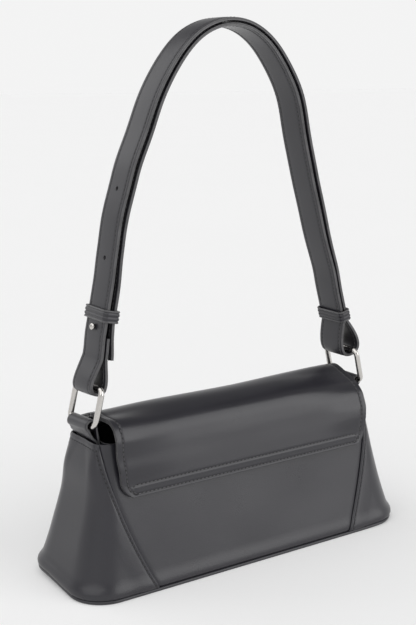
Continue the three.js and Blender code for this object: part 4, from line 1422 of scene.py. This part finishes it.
class BAG_OT_flap(bpy.types.Operator):
    """Flap of leather and lining, bending at the back edge and at the front shoulder"""

    bl_idname = "shoulder_bag.flap"
    bl_label = "Flap"

    def execute(self, context):
        sizes = context.scene.bag_sizes
        edge = sizes.edge_round / MM
        spans = [("back", BACK_ROWS, ["flap_sewn", "flap_roof"]), ("front", FRONT_ROWS, ["flap_front"])]
        for name, rows, nodes in spans:
            bm = flap_sheet(rows, FLAP, True)
            leather = make_piece(f"flap_{name}_outside", bm, finishes("leather", "edge"),
                                 nodes=[n + "_leather" for n in nodes])
            thicken(leather, FLAP_LEATHER, edge)
            bm = flap_sheet(rows, FLAP_LINING, False)
            inside = make_piece(f"flap_{name}_inside", bm, finishes("lining", "edge"),
                                nodes=[n + "_lining" for n in nodes])
            thicken(inside, FLAP_LINING, edge * INSIDE_EDGE)
            thread = make_thread(f"flap_{name}_thread", self.spots(name, sizes))
            for piece in (leather, inside, thread):
                self.bend(piece, name)
        return {"FINISHED"}

    @staticmethod
    def bend(piece, name):
        """Bakes a piece of the flap's transform into its mesh; both lengths are treated alike."""
        if name == "back":
            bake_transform(piece)
        else:
            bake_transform(piece)

    @staticmethod
    def spots(name, sizes):
        """Where the stitches of one length of the flap lie, on both faces of the front."""
        spots = []
        for row in flap_rows():
            kept = [(x, s) for x, s in row if (s <= SPLIT_S) == (name == "back")]
            if len(kept) < 2:
                continue
            outside = [flap_place(x, s, FLAP + flap_relief(x, s) + THREAD_ON_FLAP) for x, s in kept]
            spots += sew(outside, sizes.stitch_pitch, sizes.thread_width)
            if name == "front":
                inside = [flap_place(x, s, THREAD_IN_FLAP) for x, s in kept]
                spots += sew([(p, -o) for p, o in inside], sizes.stitch_pitch, sizes.thread_width)
        return spots


class BAG_OT_snap(bpy.types.Operator):
    """Magnetic snap behind the front of the flap"""

    bl_idname = "shoulder_bag.snap"
    bl_label = "Snap"

    def execute(self, context):
        ahead = SECTION[:, 0] > MOUTH_HALF_DEPTH
        at = float(np.interp(-SNAP_HEIGHT, -SECTION[ahead][:, 1], SECTION_S[ahead]))
        seat, out = flap_place(0, at, 0)
        cap = [(radius, height - SNAP_THICK) for radius, height in SNAP_CAP]
        cap += [(SNAP_RADIUS, SNAP_CAP_RIM), (SNAP_RADIUS, -GAP), (SNAP_SEAT, -GAP),
                (SNAP_SEAT, SNAP_CAP_TOP), (0, SNAP_CAP_TOP)]
        self.turn("snap_cap", cap, seat, out, "flap_front", "snap_flap")
        wall = front_line(seat.z - FLAP_STAND * out.z, 0)
        place = Vector((0, wall[0], wall[1]))
        inside = -PANEL - GAP
        socket = [(0, inside), (SNAP_STEM, inside), (SNAP_STEM, GAP), (SNAP_RADIUS, GAP)]
        socket += [(radius, GAP + height) for radius, height in SNAP_SOCKET]
        self.turn("snap_socket", socket, place, out, "bag", "snap_body")
        bore = SNAP_STEM + GAP
        under = inside - SNAP_WASHER
        washer = [(bore, under), (SNAP_RADIUS - SNAP_WASHER_EDGE, under),
                  (SNAP_RADIUS, under + SNAP_WASHER_EDGE), (SNAP_RADIUS, inside),
                  (bore, inside), (bore, under)]
        self.turn("snap_back_washer", washer, place, out, "bag", "snap_washer")
        return {"FINISHED"}

    @staticmethod
    def turn(name, profile, place, out, body, node):
        """Makes one turned metal piece."""
        bm = turned(profile, place, out)
        keep_sharp(bm, CRISP_SNAP)
        make_piece(name, bm, finishes("nickel"), body, [node])


class BAG_OT_rings(bpy.types.Operator):
    """Nickel rings and the leather tabs folded round them"""

    bl_idname = "shoulder_bag.rings"
    bl_label = "Rings and tabs"

    def execute(self, context):
        wire = round_section(RING_WIRE, WIRE_ROUND)
        foot = Vector((RING_FOOT[0], 0, RING_FOOT[1]))
        head = Vector((RING_HEAD[0], 0, RING_HEAD[1]))
        up = (head - foot).normalized()
        middle = (foot + head) / 2
        half_tall = (head - foot).length / 2
        outline = rounded_rectangle(RING_HALF_WIDTH, half_tall, RING_CORNER, RING_CORNER_STEPS)
        for name, side in [("left", -1), ("right", 1)]:
            mirror = Matrix.Diagonal((side, 1, 1))
            points = [mirror @ (middle + up * tall + Vector((0, across, 0))) for across, tall in outline]
            if side < 0:
                points = [twisted(p, 1) + Vector((0, 0, LEFT_RISE)) for p in points]
            axis = (mirror @ up).cross(Vector((0, 1, 0))).normalized()
            bm = swept(wire, frames(points, axis, True), True)
            make_piece("wire_" + name, bm, finishes("nickel"), "ring_" + name, ["ring_" + name])
            self.tab(name, mirror)
        return {"FINISHED"}

    @staticmethod
    def tab(name, mirror):
        """One leather tab, folded round the lower bar of its ring and tucked behind the gusset."""
        outer = TAB_FACE - TAB / 2
        inner = TAB_FACE - 3 * TAB / 2
        radius = WIRE + GAP + TAB / 2 + (TAB_ROOM_LEFT if name == "left" else 0)
        bar_x, bar_z = RING_FOOT
        line = [(inner, z) for z in spaced(TAB_FOOT, TAB_BACK_TOP, TAB_STEPS)]
        line += [(inner + out, MOUTH_HEIGHT + up) for out, up in TAB_BACK]
        for turn in spaced(*TAB_TURN, TAB_TURN_STEPS):
            line.append((bar_x + radius * math.cos(turn), bar_z + radius * math.sin(turn)))
        line += [(outer + out, MOUTH_HEIGHT + up) for out, up in TAB_THROAT]
        line += [(outer, z) for z in spaced(TAB_FACE_TOP, TAB_FOOT, TAB_STEPS)]
        if name == "left":
            line = [(x, z + LEFT_RISE * tab_free(z)) for x, z in line]
        points = [mirror @ Vector((x, 0, z)) for x, z in line]
        wide, half = TAB_HALF_WIDTH, TAB / 2
        edge = [(wide - TAB_ROUND, half), (wide - TAB_BRINK, half - TAB_SOFT), (wide, 0),
                (wide - TAB_BRINK, TAB_SOFT - half), (wide - TAB_ROUND, -half)]
        faces = spaced(wide - TAB_FLAT, TAB_FLAT - wide, TAB_STEPS)
        profile = [(y, half) for y in faces] + [(-y, lift) for y, lift in edge]
        profile += [(-y, -half) for y in faces] + [(y, -lift) for y, lift in edge]
        bm = swept(profile, frames(points, Vector((0, 1, 0))))
        if name == "left":
            for vert in bm.verts:
                vert.co = twisted(vert.co, tab_free(vert.co.z / MM))
        paint_edges(bm, lambda spot: abs(spot.y) > wide - TAB_PAINT)
        make_piece("folded_tab_" + name, bm, finishes("leather", "edge"), "bag", ["tab_" + name])


class BAG_OT_strap(bpy.types.Operator):
    """One doubled band with its loops, holes and stitching"""

    bl_idname = "shoulder_bag.strap"
    bl_label = "Strap"

    def execute(self, context):
        sizes = context.scene.bag_sizes
        stops = frames(strap_run(), Vector((0, 1, 0)))
        bm = swept(strap_profile(), stops)
        for vert in bm.verts:
            vert.co = twisted(vert.co, loop_share(vert.co / MM))
        paint_edges(bm, lambda spot: abs(spot.y) > STRAP_PAINT)
        materials = finishes("strap_leather", "edge")
        band = make_piece("doubled_strap", bm, materials, "strap", ["strap_band"])
        self.punch(band)
        spots = self.tack(sizes)
        for side in (-1, 1):
            for face in (-1, 1):
                lift = face * (strap_face(STRAP_STITCH) + THREAD_ON_BODY)
                places = []
                for stop in stops:
                    spot = stop @ (Vector((side * STRAP_STITCH, lift, 0)) * MM) / MM
                    places.append((twisted(spot, loop_share(spot)), stop.to_3x3() @ Vector((0, face, 0))))
                spots += sew(places, sizes.strap_pitch, sizes.thread_width)
        make_thread("strap_thread", spots, "strap")
        return {"FINISHED"}

    @staticmethod
    def tack(sizes):
        """The row across the sewn end of the left loop."""
        out = leg_out(LEFT_LEG)
        spot = leg_place(LEFT_LEG, TACK_UP, CLOSED_SET + STRAP / 2)
        places = [(spot + Vector((0, y, 0)), out) for y in spaced(-STRAP_STITCH, STRAP_STITCH, TACK_STEPS)]
        return sew(places, sizes.strap_pitch, sizes.thread_width)

    @staticmethod
    def punch(band):
        """Cuts the adjusting holes through the outer layer and the stud's hole through the tail."""
        turn = leg_out(LEFT_LEG).to_track_quat("Z", "Y").to_matrix().to_4x4()
        starts = [leg_place(LEFT_LEG, STUD_UP + k * HOLE_PITCH, HOLE_REACH / 2) for k in range(HOLE_COUNT)]
        starts.append(leg_place(LEFT_LEG, STUD_UP, -HOLE_REACH / 2))
        bm = bmesh.new()
        for start in starts:
            matrix = Matrix.Translation(start * MM) @ turn @ Matrix.Rotation(HOLE_TURN, 4, "Z")
            bmesh.ops.create_cone(bm, cap_ends=True, segments=HOLE_ROUND, radius1=HOLE_RADIUS * MM,
                                  radius2=HOLE_RADIUS * MM, depth=HOLE_REACH * MM, matrix=matrix)
        mesh = bpy.data.meshes.new("hole_punch")
        bm.to_mesh(mesh)
        bm.free()
        mesh.materials.append(finish_of("edge"))
        cutter = bpy.data.objects.new("hole_punch", mesh)
        bpy.context.scene.collection.objects.link(cutter)
        cut = band.modifiers.new("Holes", "BOOLEAN")
        cut.object = cutter
        cut.solver = "EXACT"
        graph = bpy.context.evaluated_depsgraph_get()
        punched = bpy.data.meshes.new_from_object(band.evaluated_get(graph))
        if len(punched.vertices) <= len(band.data.vertices):
            raise RuntimeError("The strap's holes were not cut")
        band.modifiers.clear()
        band.data = punched
        bpy.data.objects.remove(cutter)
        bm = bmesh.new()
        bm.from_mesh(punched)
        keep_sharp(bm, CRISP_STRAP)
        bm.to_mesh(punched)
        bm.free()


class BAG_OT_keepers(bpy.types.Operator):
    """Leather keepers that slide on the strap"""

    bl_idname = "shoulder_bag.keepers"
    bl_label = "Keepers"

    def execute(self, context):
        spots = [("left", LEFT_LEG, KEEPER_LEFT_UP), ("right", RIGHT_LEG, KEEPER_RIGHT_UP)]
        for name, leg, up in spots:
            foot = leg_place(leg, up, 0)
            rise = leg_place(leg, 1, 0) - leg_place(leg, 0, 0)
            out = leg_out(leg)
            deeper, set_out = (TAIL_NEAR / 2, LEFT_SET) if leg is LEFT_LEG else (0, 0)
            thick = CLOSED_SET + STRAP / 2 + KEEPER_PLAY + KEEPER_WALL / 2 + deeper
            wide = STRAP_HALF_WIDTH + KEEPER_PLAY + KEEPER_WALL / 2
            middle = foot + rise * (KEEPER_TALL / 2)
            path = []
            for p, q in rounded_rectangle(thick, wide, KEEPER_CORNER, KEEPER_CORNER_STEPS):
                puff = KEEPER_PUFF * (1 - (q / wide) ** 2)
                set_off = p + set_out - deeper + math.copysign(puff, p)
                path.append(middle + out * set_off + Vector((0, leg.side * q, 0)))
            bm = swept(self.profile(), frames(path, rise, True), True)
            paint_edges(bm, lambda spot: abs((spot - middle).dot(rise)) > KEEPER_TALL / 2 - KEEPER_RIM)
            node = "keeper_" + name
            materials = finishes("strap_leather", "edge")
            make_piece("sliding_" + node, bm, materials, node, [node])
        return {"FINISHED"}

    @staticmethod
    def profile():
        """Section of the keeper: a crowned band with a pressed line along each edge."""
        tall, half = KEEPER_TALL / 2, KEEPER_WALL / 2
        outer = [(tall - inwards, half + height) for inwards, height in KEEPER_RIM_FACE]
        outer += [(out, half + height) for out, height in KEEPER_MIDDLE_FACE]
        outer += [(-y, lift) for y, lift in outer[-2::-1]]
        edge = [(-tall, half - KEEPER_ROUND), (-tall, KEEPER_ROUND - half)]
        inner = [(KEEPER_SOFT - tall, -half), (0, -half), (tall - KEEPER_SOFT, -half)]
        return outer + edge + inner + [(-y, -lift) for y, lift in edge]


class BAG_OT_stud(bpy.types.Operator):
    """Stud through the strap and the screw that holds it"""

    bl_idname = "shoulder_bag.stud"
    bl_label = "Stud"

    def execute(self, context):
        out = leg_out(LEFT_LEG)
        centre = leg_place(LEFT_LEG, STUD_UP, 0)
        face = CLOSED_SET + STRAP / 2 + left_set(STUD_UP)
        back = -CLOSED_SET - STRAP / 2 + left_set(STUD_UP) - tail_stand(STUD_UP)
        foot = face + STUD_STAND
        stud = [(0, back), (STUD_STEM, back)] + [(radius, foot + height) for radius, height in STUD_HEAD]
        screw = [(radius, back - GAP - depth) for radius, depth in STUD_SCREW]
        pieces = [("ball_stud", stud, "strap_stud"), ("stud_back_screw", screw, "stud_screw")]
        for name, profile, node in pieces:
            bm = turned(profile, centre, out)
            keep_sharp(bm, CRISP_STUD)
            make_piece(name, bm, finishes("nickel"), "strap", [node])
        return {"FINISHED"}


class BAG_OT_seams(bpy.types.Operator):
    """Stitch rows along the gussets' folded edges"""

    bl_idname = "shoulder_bag.seams"
    bl_label = "Body stitching"

    def execute(self, context):
        sizes = context.scene.bag_sizes
        spots = []
        for side in (-1, 1):
            for end in (1, -1):
                places = []
                for z in spaced(SEAM_ROW_FOOT, MOUTH_HEIGHT - TOP_STITCH, SEAM_ROW_STEPS):
                    point, out = gusset_place(Column(GUSSET_STITCH, False, end), z, side)
                    places.append((point + out * THREAD_ON_BODY, out))
                spots += sew(places, sizes.stitch_pitch, sizes.thread_width, GUSSET_HOLE_WIDE)
            top = []
            for column in GUSSET_COLUMNS[TOP_ROW_SKIP:-TOP_ROW_SKIP]:
                point, out = gusset_place(column, MOUTH_HEIGHT - TOP_STITCH, side)
                top.append((point + out * THREAD_ON_BODY, out))
            spots += sew(top, sizes.stitch_pitch, sizes.thread_width)
        make_thread("gusset_thread", spots, "bag", "leather")
        return {"FINISHED"}


class BAG_OT_stage(bpy.types.Operator):
    """Pale floor, soft light and the camera of the photographed view"""

    bl_idname = "shoulder_bag.stage"
    bl_label = "Stage"

    def execute(self, context):
        scene = context.scene
        looks = scene.bag_finishes
        reach = scene.bag_sizes.floor_reach
        bm = bmesh.new()
        bmesh.ops.create_grid(bm, x_segments=FLOOR_CELLS, y_segments=FLOOR_CELLS, size=reach)
        make_piece("studio_floor", bm, finishes("stage"))
        world = bpy.data.worlds.new("studio_light")
        world.use_nodes = True
        world.node_tree.nodes.clear()
        start = Shade(world.node_tree)
        ray = start.node("ShaderNodeLightPath", {}, {}, "Is Camera Ray")
        way = start.node("ShaderNodeTexCoord", {}, {}, "Generated")
        height = start.node("ShaderNodeSeparateXYZ", {}, {"Vector": way}, "Z")
        level = start.node("ShaderNodeMapRange", {"interpolation_type": "SMOOTHSTEP"},
                           {"Value": height, "From Min": 0.08, "From Max": 0.55,
                            "To Min": looks.horizon, "To Max": looks.sky})
        strength = level * (1 - ray) + ray * looks.stage[0]
        sky = start.node("ShaderNodeBackground", {}, {"Color": (1, 1, 1, 1), "Strength": strength})
        start.node("ShaderNodeOutputWorld", {}, {"Surface": sky})
        scene.world = world
        for name, level, direction, spread in LAMPS:
            self.lamp(name, level * looks.lamps, direction, spread)
        scene.view_settings.view_transform = "Standard"
        self.camera(scene)
        return {"FINISHED"}

    @staticmethod
    def lamp(name, strength, direction, spread):
        """A broad soft lamp from one side, as even over the floor as over the bag."""
        data = bpy.data.lights.new(name, "SUN")
        data.energy = strength
        data.angle = math.radians(spread)
        lamp = bpy.data.objects.new(name, data)
        lamp.rotation_euler = Vector(direction).to_track_quat("-Z", "Y").to_euler()
        bpy.context.scene.collection.objects.link(lamp)

    @staticmethod
    def camera(scene):
        """The camera at the photograph's place and angle."""
        data = bpy.data.cameras.new("photo_view")
        data.lens = CAMERA_LENS
        data.sensor_width = CAMERA_SENSOR
        camera = bpy.data.objects.new("photo_view", data)
        turn, rise = math.radians(CAMERA_AZIMUTH), math.radians(CAMERA_ELEVATION)
        back = Vector((math.sin(turn) * math.cos(rise), -math.cos(turn) * math.cos(rise), math.sin(rise)))
        camera.location = CAMERA_PLACE
        camera.rotation_euler = (-back).to_track_quat("-Z", "Y").to_euler()
        scene.collection.objects.link(camera)
        scene.camera = camera


class BAG_PT_panel(bpy.types.Panel):
    """Lists the bag's pieces in the sidebar"""

    bl_idname = "BAG_PT_panel"
    bl_label = "Shoulder bag"
    bl_space_type = "VIEW_3D"
    bl_region_type = "UI"
    bl_category = "Shoulder bag"

    def draw(self, context):
        for group in (context.scene.bag_sizes, context.scene.bag_finishes):
            for name in group.__annotations__:
                self.layout.prop(group, name)
        for maker in MAKERS:
            self.layout.operator(maker.bl_idname)


MAKERS = (BAG_OT_walls, BAG_OT_base, BAG_OT_lining, BAG_OT_flap, BAG_OT_snap, BAG_OT_rings, BAG_OT_strap,
          BAG_OT_keepers, BAG_OT_stud, BAG_OT_seams, BAG_OT_stage)
GROUPS = (BagSizes, BagFinishes)


def register():
    """Adds the bag's settings, operators and panel."""
    for item in (*GROUPS, *MAKERS, BAG_PT_panel):
        bpy.utils.register_class(item)
    bpy.types.Scene.bag_sizes = bpy.props.PointerProperty(type=BagSizes)
    bpy.types.Scene.bag_finishes = bpy.props.PointerProperty(type=BagFinishes)


def unregister():
    """Takes the bag's settings, operators and panel away."""
    del bpy.types.Scene.bag_sizes
    del bpy.types.Scene.bag_finishes
    for item in (BAG_PT_panel, *reversed(MAKERS), *GROUPS):
        bpy.utils.unregister_class(item)


def main():
    """Makes every piece in order."""
    register()
    bpy.ops.shoulder_bag.walls()
    bpy.ops.shoulder_bag.base()
    bpy.ops.shoulder_bag.lining()
    bpy.ops.shoulder_bag.flap()
    bpy.ops.shoulder_bag.snap()
    bpy.ops.shoulder_bag.rings()
    bpy.ops.shoulder_bag.strap()
    bpy.ops.shoulder_bag.keepers()
    bpy.ops.shoulder_bag.stud()
    bpy.ops.shoulder_bag.seams()
    bpy.ops.shoulder_bag.stage()


if __name__ == "__main__":
    main()
